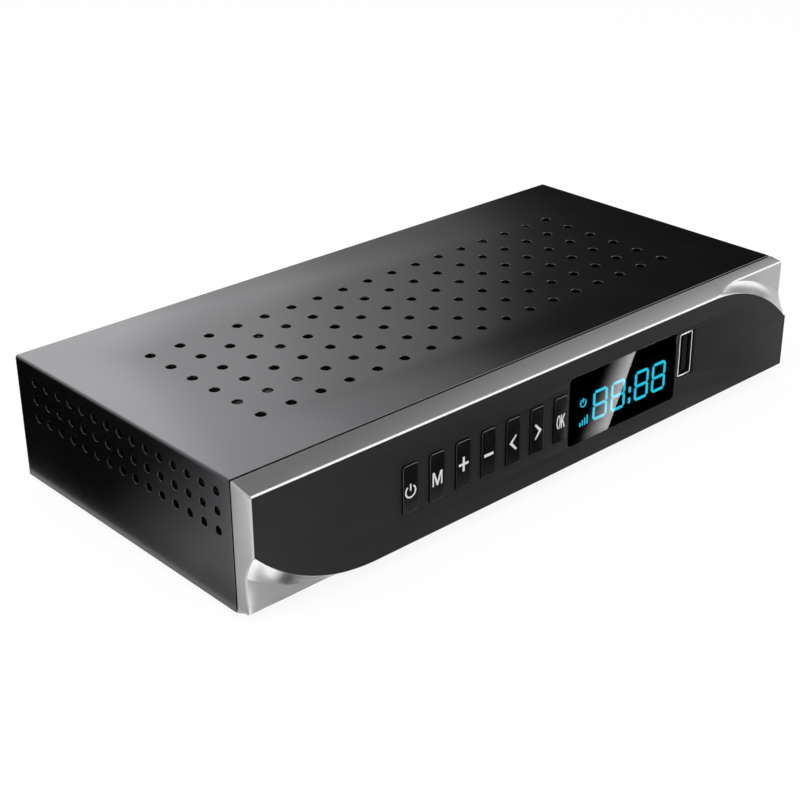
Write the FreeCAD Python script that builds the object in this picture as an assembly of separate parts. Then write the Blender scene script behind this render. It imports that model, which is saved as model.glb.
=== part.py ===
"""A set-top television receiver: a folded steel case, a moulded bezel with two scooped corners, seven push
keys, a clock display, a front data socket, and the boards and rear sockets that they need.

Millimetres, +Z up, +X to the right of someone facing the front, +Y towards the back.
The origin is under the middle of the whole receiver, on the surface that its feet stand on.
"""
import FreeCAD, Part
import math
import os

Vector = FreeCAD.Vector

# ---------------------------------------------------------------- driving dimensions

# Case
case_width = 200.0            # over the folded cover
case_depth = 91.0             # front edge of the cover to the back of the rear panel
case_height = 35.0            # underside of the tray to the top of the cover
sheet = 0.6                   # steel of the cover and the tray
sheet_gap = 0.05              # slip fit between the cover and the tray
foot_height = 2.0
foot_radius = 6.0
foot_inset_x = 15.0           # foot centre from the side of the case
foot_inset_y = 12.0           # foot centre from the cover's front edge and from the rear panel
rear_lip = 8.0                # cover's lip folded down inside the rear panel
side_flange = 8.0             # tray's edges folded up inside the cover's sides

# Small round pieces and holes are drawn with few sides
fastener_sides = 6
peg_sides = 12

# Vents in the cover
vent_sides = 6                # a vent is a small regular outline, as open as a round one
top_vent_columns = 17
top_vent_rows = 6
top_vent_pitch_x = 9.35
top_vent_pitch_y = 9.2
top_vent_front = 20.6         # first row from the cover's front edge
top_vent_radius = 1.4
side_vent_columns = 15
side_vent_rows = 3
side_vent_pitch_y = 5.52
side_vent_pitch_z = 5.12
side_vent_front = 5.1         # first column from the cover's front edge
side_vent_drop = 4.95         # top row below the top of the cover
side_vent_radius = 1.2

# Slots in the tray's floor
floor_slot_count = 9
floor_slot_width = 3.0
floor_slot_length = 20.0
floor_slot_pitch = 9.0
floor_slot_y = (36.0, 62.0)   # rows of slots, behind the cover's front edge

# Bezel
bezel_depth = 7.7             # front plane ahead of the cover's front edge
shadow_gap = 0.6              # dark line between the cover and the bezel
front_drop = 1.4              # front plane's top edge below the top of the case
front_rise = 2.0              # front plane's bottom edge above the case's underside
rim_width = 0.3               # bevelled rim, seen from the front
rim_depth = 0.4               # bevelled rim, seen from the side
corner_radius = 49.0          # arc that cuts the lower left and upper right corners
corner_reach = 36.2           # where that arc meets the straight edge, from the side of the case
recess_depth = 3.2            # scooped corner's flat face behind the front plane
cove_side_width = 4.6         # concave cove between the arc and that flat, at the side of the case
cove_end_width = 1.0          # and where the arc ends
cove_fullness = 0.8           # 1 lets the cove run smoothly into the flat, less leaves a crease
scoop_sections = 7            # sections of the scooped corner's loft
scoop_overrun = 1.35          # how far past the side of the case the loft turns
recess_rim_share = 0.21       # where the recess's lower bevel ends, as a share of the cove's outer radius
skirt_depth = 5.0             # wall of the bezel inside the cover
skirt_gap = 1.0
bezel_wall = 1.5
hook_width = 8.0
hook_inset = 40.0             # hook's middle from the side of the case
hook_depth = 2.5
hook_setback = 1.5            # hook behind the cover's front edge

# Fascia
fascia_inset = 0.4            # fascia's outline inside the front plane's
fascia_seam = 0.05            # gap round the fascia
fascia_thickness = 1.6
fascia_setback = 0.05         # fascia's face behind the front plane

# Keys
key_names = ("power", "menu", "plus", "minus", "left", "right", "ok")
first_key_left = 44.7         # first key's opening from the left side of the case
key_pitch = 8.87
key_opening_width = 5.25
key_opening_height = 13.5
key_opening_bottom = 11.1     # above the case's underside
key_corner = 0.7              # cut across each corner of an opening
key_gap = 0.2
key_proud = 0.5
key_bevel = 0.35
key_travel = 0.5
key_flange = 0.7              # lip behind the fascia, each side of the opening
key_flange_thickness = 1.0
key_flange_gap = 0.05
key_stem = 2.6                # square stem
key_stem_length = 1.45

# Tact switches
switch_size = 6.0
switch_height = 3.5
plunger_radius = 1.75
plunger_reach = 1.5           # out of the switch body
plunger_depth = 0.8           # inside the switch body
plunger_gap = 0.15
switch_well_room = 0.3        # under a pressed plunger, in the round well of the switch body

# Display
keys_to_window = 0.93         # from the last key's opening
window_bottom = 8.0           # above the case's underside
window_width = 43.9
window_height = 20.0
window_corner = 0.7           # cut across each corner of the lens
window_seam = 0.05
window_face = 0.8             # lens in the fascia's front opening
window_flange = 1.0           # lens's lip, each side
window_flange_thickness = 0.5
module_gap = 0.35             # lens's back to the display's face
module_width = 40.0
module_height = 15.2
module_bottom = 8.3           # above the case's underside
digit_width = 5.7
digit_height = 8.8
digit_bottom = 12.0           # above the case's underside
digits_inset = 10.6           # first digit from the window's left side
digit_pitch = 7.3
colon_room = 2.45             # added between the second and third digit
segment_width = 0.75
segment_gap = 0.15
segment_thickness = 0.2
receiver_width = 5.0          # infrared receiver
receiver_height = 3.6
receiver_depth = 4.2
receiver_lens_radius = 1.5
receiver_lens_depth = 1.2
receiver_room = 0.4           # above the display module

# Front data socket
window_to_data = 1.2          # from the window to the socket's opening
data_centre_height = 20.05    # above the case's underside
data_width = 5.7
data_height = 13.1
data_wall = 0.45
data_depth = 14.0
data_recess = 0.45            # behind the fascia's face
data_gap_x = 0.7              # to its opening in the fascia
data_gap_z = 0.3
data_web_gap = 0.15           # from that opening to the one in the bezel's web
tongue_thickness = 1.84
tongue_height = 11.1
tongue_setback = 0.8
tongue_offset = 0.6
tongue_base = 2.0

# Front board
board_thickness = 1.6
front_board_left = 36.5       # from the left side of the case
front_board_right = 166.0
front_board_bottom = 5.2      # above the case's underside
front_board_height = 25.0
post_radius = 2.5
post_inset = 3.8              # from the board's edges
screw_radius = 1.25
screw_head_radius = 2.4
screw_head_height = 1.4
screw_gap = 0.05
post_screw_share = 0.8        # how far a screw reaches along the post

# Main board
main_board_side_gap = 14.0    # to the side of the case
main_board_front_gap = 13.4   # behind the front board
main_board_rear_gap = 2.0     # to the rear panel
standoff_height = 5.8
standoff_radius = 2.75
standoff_inset = 4.5
board_screw_radius = 1.5
board_screw_head_radius = 2.8
board_screw_head_height = 1.8
board_screw_bite = 4.0

# Case screws
case_screw_radius = 1.5
case_screw_head_radius = 2.9
case_screw_head_height = 1.9
case_screw_length = 4.0
case_screw_inset = 10.0       # outer screws from the side of the case
case_screw_drop = 4.6         # below the top of the case

# Parts on the main board: x from its middle, y behind its front edge
processor_size = 17.0
processor_height = 1.6
processor_x = -6.0
processor_y = 27.6
pad_thickness = 0.5
heat_sink_size = 24.0
heat_sink_base = 2.5
heat_sink_height = 11.0
fin_count = 7
fin_thickness = 1.1
memory_width = 12.0
memory_depth = 8.0
memory_height = 1.2
memory_x = 22.0
memory_y = (19.6, 33.6)
crystal_width = 11.0
crystal_depth = 4.6
crystal_height = 3.6
crystal_x = -6.0
crystal_y = 48.1
capacitor_radius = 4.0
capacitor_height = 12.5
capacitor_places = ((52.0, 45.6), (64.0, 45.6), (46.0, 29.6), (70.0, 15.6))
coil_size = 7.0
coil_height = 4.0
coil_places = ((58.0, 29.6), (70.0, 29.6))

# Tuner and its coaxial sockets
tuner_inset = 11.0            # from the main board's left edge
tuner_width = 42.0
tuner_depth = 44.0
tuner_height = 15.0
coax_height = 9.0             # socket axes above the main board
coax_input_inset = 11.0       # from the tuner's left side
coax_spacing = 20.0
coax_reach = 9.0              # past the rear panel
coax_input_radius = 6.0
coax_input_bore = 4.765
coax_output_radius = 4.75
coax_output_bore = 4.1
coax_collar_radius = 6.0      # root of the output's sleeve
coax_collar_reach = 1.5       # past the rear panel
coax_pin_radius = 1.15
coax_contact_bore = 1.2
coax_contact_radius = 1.9
coax_insulator = 2.0

# Digital video socket
video_x = -14.0
video_width = 15.0
video_height = 5.6
video_chamfer = 1.6
video_wall = 0.35
video_depth = 11.5
video_proud = 0.4
video_tongue_width = 10.6
video_tongue_thickness = 1.4
video_base = 2.0

# Phono jacks
jack_x = (14.0, 28.0, 42.0)
jack_names = ("video", "left", "right")
jack_height = 7.5             # axes above the main board
jack_housing_depth = 11.0
jack_housing_height = 13.0
jack_housing_margin = 6.2     # housing past the outer jacks' axes
jack_reach = 8.6              # past the rear panel
jack_radius = 4.15
jack_wall = 0.5
jack_collar_radius = 5.0      # root of each sleeve
jack_collar_reach = 0.8       # past the rear panel
jack_contact_bore = 1.65
jack_insert_setback = 0.5

# Power jack
power_x = 64.0
power_width = 9.0
power_height = 11.0
power_depth = 14.0
power_proud = 0.6
power_bore = 2.75
power_bore_depth = 9.5
power_pin_radius = 1.05
power_pin_setback = 0.8

# Ribbon between the boards
ribbon_x = -15.0
ribbon_width = 14.0
ribbon_thickness = 0.4
ribbon_bend = 3.0
ribbon_height = 7.0           # upper run above the main board
header_depth = 5.0
header_height = 3.0
header_setback = 1.0          # lower header behind the main board's front edge
header_margin = 1.5

panel_cutout_gap = 0.3        # round each socket in the rear panel

# ---------------------------------------------------------------- places that follow

overall_depth = key_proud - fascia_setback + bezel_depth + case_depth + coax_reach
cover_front = -overall_depth / 2 + bezel_depth + key_proud - fascia_setback
cover_rear = cover_front + case_depth
left = -case_width / 2
right = case_width / 2
underside = foot_height
top = underside + case_height
tray_floor = underside + sheet
front_plane = cover_front - bezel_depth
front_top = top - front_drop
front_bottom = underside + front_rise
fascia_front = front_plane + fascia_setback
fascia_back = fascia_front + fascia_thickness
flange_back = fascia_back + key_flange_gap + key_flange_thickness
stem_end = flange_back + key_stem_length
switch_front = stem_end + plunger_reach
front_board_front = switch_front + switch_height
front_board_back = front_board_front + board_thickness
bezel_web_back = fascia_back + bezel_wall
recess_plane = front_plane + recess_depth
main_board_bottom = tray_floor + standoff_height
main_board_top = main_board_bottom + board_thickness
panel_front = cover_rear - sheet
main_board_half = case_width / 2 - main_board_side_gap
main_board_front = front_board_back + main_board_front_gap
main_board_rear = panel_front - main_board_rear_gap
tuner_left = -main_board_half + tuner_inset
coax_input_x = tuner_left + coax_input_inset
coax_output_x = coax_input_x + coax_spacing
overshoot = 5.0               # how far cutting tools pass the faces that they cut


def from_left(distance):
    return left + distance


def from_underside(height):
    return underside + height


def from_cover_front(distance):
    return cover_front + distance


# ---------------------------------------------------------------- shared shapes

def block(x0, x1, y0, y1, z0, z1):
    return Part.makeBox(x1 - x0, y1 - y0, z1 - z0, Vector(x0, y0, z0))


def rod_y(x, z, y0, y1, radius):
    return Part.makeCylinder(radius, y1 - y0, Vector(x, y0, z), Vector(0, 1, 0))


def prism(points, direction):
    """A closed outline of points, pulled along a direction."""
    return Part.Face(Part.makePolygon(points + points[:1])).extrude(direction)


def prism_y(outline, y0, y1):
    return prism([Vector(x, y0, z) for x, z in outline], Vector(0, y1 - y0, 0))


def prism_x(outline, x0, x1):
    return prism([Vector(x0, y, z) for y, z in outline], Vector(x1 - x0, 0, 0))


def cut_corners(x0, x1, z0, z1, corner):
    """A rectangle's outline with its corners cut across."""
    return [(x0 + corner, z0), (x1 - corner, z0), (x1, z0 + corner), (x1, z1 - corner), (x1 - corner, z1),
            (x0 + corner, z1), (x0, z1 - corner), (x0, z0 + corner)]


def regular(centre_a, centre_b, radius, sides):
    """Corners of a regular outline inside a circle, with a flat side level."""
    turn = math.pi / sides
    return [(centre_a + radius * math.cos(turn * (2 * i + 1)),
             centre_b + radius * math.sin(turn * (2 * i + 1))) for i in range(sides)]


def outside(radius, sides):
    """The radius of the regular outline that stands just outside a circle."""
    return radius / math.cos(math.pi / sides)


def peg_y(x, z, y0, y1, radius, sides):
    return prism_y(regular(x, z, radius, sides), y0, y1)


def peg_z(x, y, z0, z1, radius, sides):
    return prism([Vector(a, b, z0) for a, b in regular(x, y, radius, sides)], Vector(0, 0, z1 - z0))


def hole_y(x, z, y0, y1, radius, sides):
    return peg_y(x, z, y0, y1, outside(radius, sides), sides)


def hole_z(x, y, z0, z1, radius, sides):
    return peg_z(x, y, z0, z1, outside(radius, sides), sides)


def vent_outline(centre_a, centre_b, radius):
    """The corners of one vent: its area is that of a circle of this radius."""
    turn = 2 * math.pi / vent_sides
    return regular(centre_a, centre_b, radius * math.sqrt(turn / math.sin(turn)), vent_sides)


def front_outline(inset):
    """The front plane's outline, drawn in by inset: a rectangle whose lower left and upper right corners are
    cut by arcs that run tangent into the bottom and the top edge."""
    x0, x1 = left + inset, right - inset
    z0, z1 = front_bottom + inset, front_top - inset
    radius = corner_radius - inset

    def arc(side, centre_x, centre_z):
        # side is -1 for the lower left corner and +1 for the upper right one
        edge_x = x0 if side < 0 else x1
        reach = abs(edge_x - centre_x)
        start = Vector(centre_x, 0, centre_z + side * radius)
        end = Vector(edge_x, 0, centre_z + side * math.sqrt(radius ** 2 - reach ** 2))
        half = math.asin(reach / radius) / 2
        middle = Vector(centre_x + side * radius * math.sin(half), 0,
                        centre_z + side * radius * math.cos(half))
        return start, middle, end

    low_start, low_middle, low_end = arc(-1, left + corner_reach, front_bottom + corner_radius)
    high_start, high_middle, high_end = arc(1, right - corner_reach, front_top - corner_radius)
    upper_left, lower_right = Vector(x0, 0, z1), Vector(x1, 0, z0)
    return Part.Wire([
        Part.LineSegment(low_end, upper_left).toShape(),
        Part.LineSegment(upper_left, high_start).toShape(),
        Part.Arc(high_start, high_middle, high_end).toShape(),
        Part.LineSegment(high_end, lower_right).toShape(),
        Part.LineSegment(lower_right, low_start).toShape(),
        Part.Arc(low_start, low_middle, low_end).toShape(),
    ])


def front_slab(inset, y0, y1):
    face = Part.Face(front_outline(inset))
    face.translate(Vector(0, y0, 0))
    return face.extrude(Vector(0, y1 - y0, 0))


def pan_screw_y(x, z, seat_y, shank_radius, shank_length, head_radius, head_height):
    """A screw driven towards -Y, its head seated at seat_y."""
    return peg_y(x, z, seat_y - shank_length, seat_y, shank_radius, fastener_sides).fuse(
        peg_y(x, z, seat_y, seat_y + head_height, head_radius, fastener_sides))


# ---------------------------------------------------------------- places shared by mating pieces

def key_opening(index):
    x0 = from_left(first_key_left + index * key_pitch)
    z0 = from_underside(key_opening_bottom)
    return x0, x0 + key_opening_width, z0, z0 + key_opening_height


def key_centre(index):
    x0, x1, z0, z1 = key_opening(index)
    return (x0 + x1) / 2, (z0 + z1) / 2


def window_left():
    """The window follows the row of keys; this is its left side, from the left side of the case."""
    return first_key_left + (len(key_names) - 1) * key_pitch + key_opening_width + keys_to_window


def window_opening(margin):
    x0 = from_left(window_left()) - margin
    z0 = from_underside(window_bottom) - margin
    return x0, x0 + window_width + 2 * margin, z0, z0 + window_height + 2 * margin


def data_centre():
    """The data socket follows the window; this is its middle, from the left side of the case."""
    return window_left() + window_width + window_to_data + data_gap_x + data_width / 2


def data_outline(margin_x, margin_z):
    """The front data socket's outline, grown by these margins."""
    x, z = from_left(data_centre()), from_underside(data_centre_height)
    half_x, half_z = data_width / 2 + margin_x, data_height / 2 + margin_z
    return x - half_x, x + half_x, z - half_z, z + half_z


def post_places():
    x0, x1 = from_left(front_board_left) + post_inset, from_left(front_board_right) - post_inset
    z0 = from_underside(front_board_bottom) + post_inset
    z1 = z0 + front_board_height - 2 * post_inset
    return [(x, z) for x in (x0, x1) for z in (z0, z1)]


def standoff_places():
    half = main_board_half - standoff_inset
    return [(x, y) for x in (-half, half)
            for y in (main_board_front + standoff_inset, main_board_rear - standoff_inset)]


def foot_places():
    half = case_width / 2 - foot_inset_x
    return [(x, y) for x in (-half, half) for y in (cover_front + foot_inset_y, cover_rear - foot_inset_y)]


def case_screw_places():
    half = case_width / 2 - case_screw_inset
    return [(x, top - case_screw_drop) for x in (-half, 0, half)]


def hook_places():
    half = case_width / 2 - hook_inset
    return [(x - hook_width / 2, x + hook_width / 2) for x in (-half, half)]


# ---------------------------------------------------------------- case

def top_cover():
    """Steel sheet folded down over both sides, with a lip at the back that the case screws bite into."""
    shell = block(left, right, cover_front, cover_rear, underside, top)
    shell = shell.cut(block(left + sheet, right - sheet, cover_front - overshoot, cover_rear + overshoot,
                            underside - overshoot, top - sheet))
    lip_back = panel_front - sheet_gap
    lip = block(left + 2 * sheet, right - 2 * sheet, lip_back - sheet, lip_back, top - rear_lip, top - sheet)
    shell = shell.fuse(lip)
    tools = [hole_y(x, z, lip_back - overshoot, lip_back + overshoot, case_screw_radius + screw_gap,
                    fastener_sides) for x, z in case_screw_places()]
    first_column = -(top_vent_columns - 1) / 2 * top_vent_pitch_x
    for column in range(top_vent_columns):
        for row in range(top_vent_rows):
            outline = vent_outline(first_column + column * top_vent_pitch_x,
                                   from_cover_front(top_vent_front + row * top_vent_pitch_y), top_vent_radius)
            tools.append(prism([Vector(x, y, top - 2 * sheet) for x, y in outline], Vector(0, 0, 3 * sheet)))
    for column in range(side_vent_columns):
        for row in range(side_vent_rows):
            outline = vent_outline(from_cover_front(side_vent_front + column * side_vent_pitch_y),
                                   top - side_vent_drop - row * side_vent_pitch_z, side_vent_radius)
            tools.append(prism_x(outline, left - sheet, left + 2 * sheet))
            tools.append(prism_x(outline, right - 2 * sheet, right + sheet))
    return shell.cut(Part.makeCompound(tools))


def base_tray():
    """The floor, the rear panel folded up from it, and low flanges inside the cover's sides."""
    x0, x1 = left + sheet + sheet_gap, right - sheet - sheet_gap
    floor = block(x0, x1, cover_front, cover_rear, underside, tray_floor)
    panel = block(x0, x1, panel_front, cover_rear, underside, top - sheet - sheet_gap)
    flange_front = cover_front + skirt_depth + skirt_gap
    flange_top = underside + side_flange
    tray = floor.fuse([panel, block(x0, x0 + sheet, flange_front, cover_rear, underside, flange_top),
                       block(x1 - sheet, x1, flange_front, cover_rear, underside, flange_top)])
    return tray.cut(Part.makeCompound(rear_panel_tools() + floor_tools())).removeSplitter()


def rear_panel_tools():
    y0, y1 = panel_front - overshoot / 2, cover_rear + overshoot
    coax_z = main_board_top + coax_height
    jack_z = main_board_top + jack_height
    sockets = [(coax_input_x, coax_z, coax_input_radius), (coax_output_x, coax_z, coax_collar_radius)]
    sockets += [(x, jack_z, jack_collar_radius) for x in jack_x]
    tools = [hole_y(x, z, y0, y1, radius + panel_cutout_gap, peg_sides) for x, z, radius in sockets]
    tools += [hole_y(x, z, y0, y1, case_screw_radius + screw_gap, fastener_sides)
              for x, z in case_screw_places()]
    cutouts = [(video_x, video_width, video_height), (power_x, power_width, power_height)]
    tools += [block(x - width / 2 - panel_cutout_gap, x + width / 2 + panel_cutout_gap, y0, y1,
                    main_board_top - panel_cutout_gap, main_board_top + height + panel_cutout_gap)
              for x, width, height in cutouts]
    return tools


def floor_tools():
    z0, z1 = underside - overshoot, tray_floor + overshoot / 2
    tools = []
    for x0, x1 in hook_places():
        y0 = from_cover_front(hook_setback)
        tools.append(block(x0 - panel_cutout_gap, x1 + panel_cutout_gap, y0 - panel_cutout_gap,
                           y0 + hook_depth + panel_cutout_gap, z0, z1))
    for centre_y in floor_slot_y:
        y0 = from_cover_front(centre_y) - floor_slot_length / 2
        for i in range(floor_slot_count):
            x = (i - (floor_slot_count - 1) / 2) * floor_slot_pitch
            tools.append(block(x - floor_slot_width / 2, x + floor_slot_width / 2, y0, y0 + floor_slot_length,
                               z0, z1))
    return tools


def rubber_feet():
    bevel = foot_height / 4
    feet = []
    for x, y in foot_places():
        foot = peg_z(x, y, 0, foot_height, foot_radius, peg_sides)
        lowest = [e for e in foot.Edges if e.BoundBox.ZMax < bevel / 2]
        feet.append(foot.makeChamfer(bevel, lowest))
    return Part.makeCompound(feet)


def case_screws():
    return Part.makeCompound([
        pan_screw_y(x, z, cover_rear, case_screw_radius, case_screw_length, case_screw_head_radius,
                    case_screw_head_height) for x, z in case_screw_places()])


# ---------------------------------------------------------------- bezel and fascia

def scoop_tool():
    """What the scooped lower left corner takes away: a loft along the corner's arc. Each section runs down a
    concave parabola from the front plane to the recessed flat, and on past the outside of the bezel."""
    centre_x, centre_z = left + corner_reach, front_bottom + corner_radius
    beyond = corner_reach
    side_angle = math.asin(corner_reach / (corner_radius + cove_side_width))
    end_angle = side_angle * scoop_overrun
    sections = []
    for i in range(scoop_sections):
        angle = end_angle * i / (scoop_sections - 1)
        cove = cove_end_width + (cove_side_width - cove_end_width) * angle / side_angle

        def at(distance, y):
            return Vector(centre_x - distance * math.sin(angle), y, centre_z - distance * math.cos(angle))

        crest = at(corner_radius, front_plane)
        control = at(corner_radius + cove / 2, front_plane + cove_fullness * recess_depth)
        foot = at(corner_radius + cove, recess_plane)
        far_back = at(corner_radius + beyond, recess_plane)
        far_front = at(corner_radius + beyond, front_plane - overshoot)
        near_front = at(corner_radius, front_plane - overshoot)
        parabola = Part.BezierCurve()
        parabola.setPoles([crest, control, foot])
        sections.append(Part.Wire([parabola.toShape()] + [
            Part.LineSegment(a, b).toShape() for a, b in
            ((foot, far_back), (far_back, far_front), (far_front, near_front), (near_front, crest))]))
    return Part.makeLoft(sections, True, False)


def rim_wedge(side, face, z0, z1):
    """The bevel along one side's front edge, where the front is at y = face."""
    edge = left if side < 0 else right
    inner = edge - side * rim_width
    outline = [(edge, face + rim_depth), (inner, face), (inner, face - overshoot),
               (edge + side * overshoot, face - overshoot), (edge + side * overshoot, face + rim_depth)]
    return prism([Vector(x, y, z0) for x, y in outline], Vector(0, 0, z1 - z0))


def recess_rims():
    """The same bevel round the lower left corner's recessed flat: up its side as far as the cove, and along
    its underside."""
    cove_radius = corner_radius + cove_side_width
    flat_top = front_bottom + corner_radius - math.sqrt(cove_radius ** 2 - corner_reach ** 2)
    side = rim_wedge(-1, recess_plane, underside - overshoot, flat_top)
    rim_y = recess_plane + rim_depth
    edge_z = bezel_bottom(rim_y)
    outline = [(rim_y, edge_z), (recess_plane, edge_z + rim_width),
               (recess_plane - overshoot, edge_z + rim_width),
               (recess_plane - overshoot, edge_z - overshoot), (rim_y, edge_z - overshoot)]
    flat_end = left + corner_reach - cove_radius * recess_rim_share
    return [side, prism_x(outline, left - overshoot, flat_end)]


def bezel_top(y):
    """Height of the bezel's sloping top."""
    return top - front_drop * (cover_front - y) / bezel_depth


def bezel_bottom(y):
    """Height of the bezel's sloping underside."""
    return underside + front_rise * (cover_front - y) / bezel_depth


def bezel():
    """Silver moulding: sloping top and bottom, a bevelled rim round the front, and two scooped corners. A
    skirt behind it slips inside the cover, hooks under it snap into the tray, and posts carry the front
    board."""
    back = cover_front - shadow_gap
    rim_y = front_plane + rim_depth
    profile = [(back, bezel_bottom(back)), (back, bezel_top(back)), (rim_y, bezel_top(rim_y)),
               (front_plane, front_top - rim_width), (front_plane, front_bottom + rim_width),
               (rim_y, bezel_bottom(rim_y))]
    body = prism_x(profile, left, right)
    z0, z1 = underside - overshoot, top + overshoot
    body = body.cut([rim_wedge(-1, front_plane, z0, z1), rim_wedge(1, front_plane, z0, z1)])
    for low_tool in [scoop_tool()] + recess_rims():
        high_tool = low_tool.copy()
        high_tool.rotate(Vector(0, 0, (front_top + front_bottom) / 2), Vector(0, 1, 0), 180)
        body = body.cut([low_tool, high_tool])

    skirt_x = case_width / 2 - sheet - skirt_gap
    skirt_top = top - sheet - skirt_gap
    skirt_bottom = tray_floor + sheet_gap
    skirt_back = cover_front + skirt_depth
    body = body.fuse(block(-skirt_x, skirt_x, back - bezel_wall, skirt_back, skirt_bottom, skirt_top))
    cavity_x = skirt_x - bezel_wall
    cavity = block(-cavity_x, cavity_x, recess_plane + bezel_wall, skirt_back + overshoot,
                   skirt_bottom + bezel_wall, skirt_top - bezel_wall)
    deep_cavity = front_slab(skirt_gap + 2 * bezel_wall, bezel_web_back, skirt_back)
    pocket = front_slab(fascia_inset - fascia_seam, front_plane - overshoot, fascia_back)
    body = body.cut([cavity, deep_cavity, pocket])
    body = body.cut(Part.makeCompound(bezel_web_openings()))
    posts = [peg_y(x, z, fascia_back, front_board_front, post_radius, fastener_sides)
             for x, z in post_places()]
    hooks = [block(x0, x1, from_cover_front(hook_setback), from_cover_front(hook_setback + hook_depth),
                   underside + sheet_gap, skirt_bottom + bezel_wall) for x0, x1 in hook_places()]
    body = body.fuse(posts + hooks)
    bores = [hole_y(x, z, bezel_web_back, front_board_front + overshoot, screw_radius + screw_gap,
                    fastener_sides) for x, z in post_places()]
    return body.cut(Part.makeCompound(bores)).removeSplitter()


def bezel_web_openings():
    """Openings in the bezel's front web for the keys' flanges, the display and the data socket."""
    margin = key_flange + key_gap
    x0, _, z0, z1 = key_opening(0)
    x1 = key_opening(len(key_names) - 1)[1]
    y0, y1 = fascia_back - overshoot, bezel_web_back + overshoot / 2
    display_x0, display_x1, display_z0, display_z1 = window_opening(window_seam)
    data_x0, data_x1, data_z0, data_z1 = data_outline(data_gap_x + data_web_gap, data_gap_z + data_web_gap)
    return [block(x0 - margin, x1 + margin, y0, y1, z0 - margin, z1 + margin),
            block(display_x0, display_x1, y0, y1, display_z0, display_z1),
            block(data_x0, data_x1, y0, y1, data_z0, data_z1)]


def fascia():
    """Dark flat panel in the bezel's pocket, opened for the keys, the display lens and the data socket."""
    panel = front_slab(fascia_inset, fascia_front, fascia_back)
    y0, y1 = fascia_front - overshoot, fascia_back + overshoot
    tools = []
    for index in range(len(key_names)):
        x0, x1, z0, z1 = key_opening(index)
        tools.append(prism_y(cut_corners(x0, x1, z0, z1, key_corner), y0, y1))
    tools.append(prism_y(cut_corners(*window_opening(window_seam), window_corner), y0, y1))
    x0, x1, z0, z1 = window_opening(window_flange + window_seam)
    tools.append(block(x0, x1, fascia_front + window_face, y1, z0, z1))
    x0, x1, z0, z1 = data_outline(data_gap_x, data_gap_z)
    tools.append(block(x0, x1, y0, y1, z0, z1))
    return panel.cut(tools)


def display_window():
    """Stepped lens: its face fills the fascia's opening and its lip is glued behind."""
    face = prism_y(cut_corners(*window_opening(0), window_corner), fascia_front, fascia_front + window_face)
    x0, x1, z0, z1 = window_opening(window_flange)
    lip_front = fascia_front + window_face
    lip = block(x0, x1, lip_front, lip_front + window_flange_thickness, z0, z1)
    return face.fuse(lip)


# ---------------------------------------------------------------- keys and switches

def key(index):
    """One key: a bevelled cap through the fascia, a lip behind it and a stem that presses its switch."""
    x0, x1, z0, z1 = key_opening(index)
    cap_front = fascia_front - key_proud
    cap_back = fascia_back + key_flange_gap
    cap = prism_y(cut_corners(x0 + key_gap, x1 - key_gap, z0 + key_gap, z1 - key_gap, key_corner),
                  cap_front, cap_back)
    rim = [e for e in cap.Edges if e.BoundBox.YMax < cap_front + key_bevel / 2]
    cap = cap.makeChamfer(key_bevel, rim)
    flange = block(x0 - key_flange, x1 + key_flange, cap_back, flange_back, z0 - key_flange, z1 + key_flange)
    x, z = key_centre(index)
    half = key_stem / 2
    stem = block(x - half, x + half, flange_back, stem_end, z - half, z + half)
    return cap.fuse([flange, stem]).removeSplitter()


def plunger(index):
    """The moving button of one tact switch, in line with the key's stem."""
    x, z = key_centre(index)
    return peg_y(x, z, stem_end, switch_front + plunger_depth, plunger_radius, peg_sides)


def tact_switches():
    half = switch_size / 2
    bodies = []
    for index in range(len(key_names)):
        x, z = key_centre(index)
        body = block(x - half, x + half, switch_front, front_board_front, z - half, z + half)
        well_floor = switch_front + plunger_depth + key_travel + switch_well_room
        bodies.append(body.cut(hole_y(x, z, switch_front - overshoot, well_floor,
                                      plunger_radius + plunger_gap, peg_sides)))
    return Part.makeCompound(bodies)


# ---------------------------------------------------------------- front board and what it carries

def front_board():
    board = block(from_left(front_board_left), from_left(front_board_right), front_board_front,
                  front_board_back, from_underside(front_board_bottom),
                  from_underside(front_board_bottom + front_board_height))
    x0, x1, z0, z1 = data_outline(data_gap_z, data_gap_z)
    tools = [block(x0, x1, front_board_front - overshoot, front_board_back + overshoot, z0, z1)]
    tools += [hole_y(x, z, front_board_front - overshoot, front_board_back + overshoot,
                     screw_radius + screw_gap, fastener_sides) for x, z in post_places()]
    return board.cut(tools)


def front_board_screws():
    length = board_thickness + (front_board_front - bezel_web_back) * post_screw_share
    return Part.makeCompound([
        pan_screw_y(x, z, front_board_back, screw_radius, length, screw_head_radius, screw_head_height)
        for x, z in post_places()])


def module_face():
    return fascia_front + window_face + window_flange_thickness + module_gap


def display_module():
    """Black housing of the clock display, soldered to the front board behind the lens."""
    centre_x = from_left(window_left()) + window_width / 2
    return block(centre_x - module_width / 2, centre_x + module_width / 2, module_face(), front_board_front,
                 from_underside(module_bottom), from_underside(module_bottom + module_height))


def bar(x0, z0, x1, z1):
    """A six-sided lamp bar between two points of a digit, along X or along Z."""
    half = segment_width / 2
    if z0 == z1:
        outline = [(x0, z0), (x0 + half, z0 - half), (x1 - half, z0 - half), (x1, z0), (x1 - half, z0 + half),
                   (x0 + half, z0 + half)]
    else:
        outline = [(x0, z0), (x0 + half, z0 + half), (x0 + half, z1 - half), (x0, z1), (x0 - half, z1 - half),
                   (x0 - half, z0 + half)]
    return prism_y(outline, module_face() - segment_thickness, module_face())


def digit_starts():
    starts = [window_left() + digits_inset + i * digit_pitch for i in range(4)]
    return [from_left(s + (colon_room if i > 1 else 0)) for i, s in enumerate(starts)]


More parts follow.
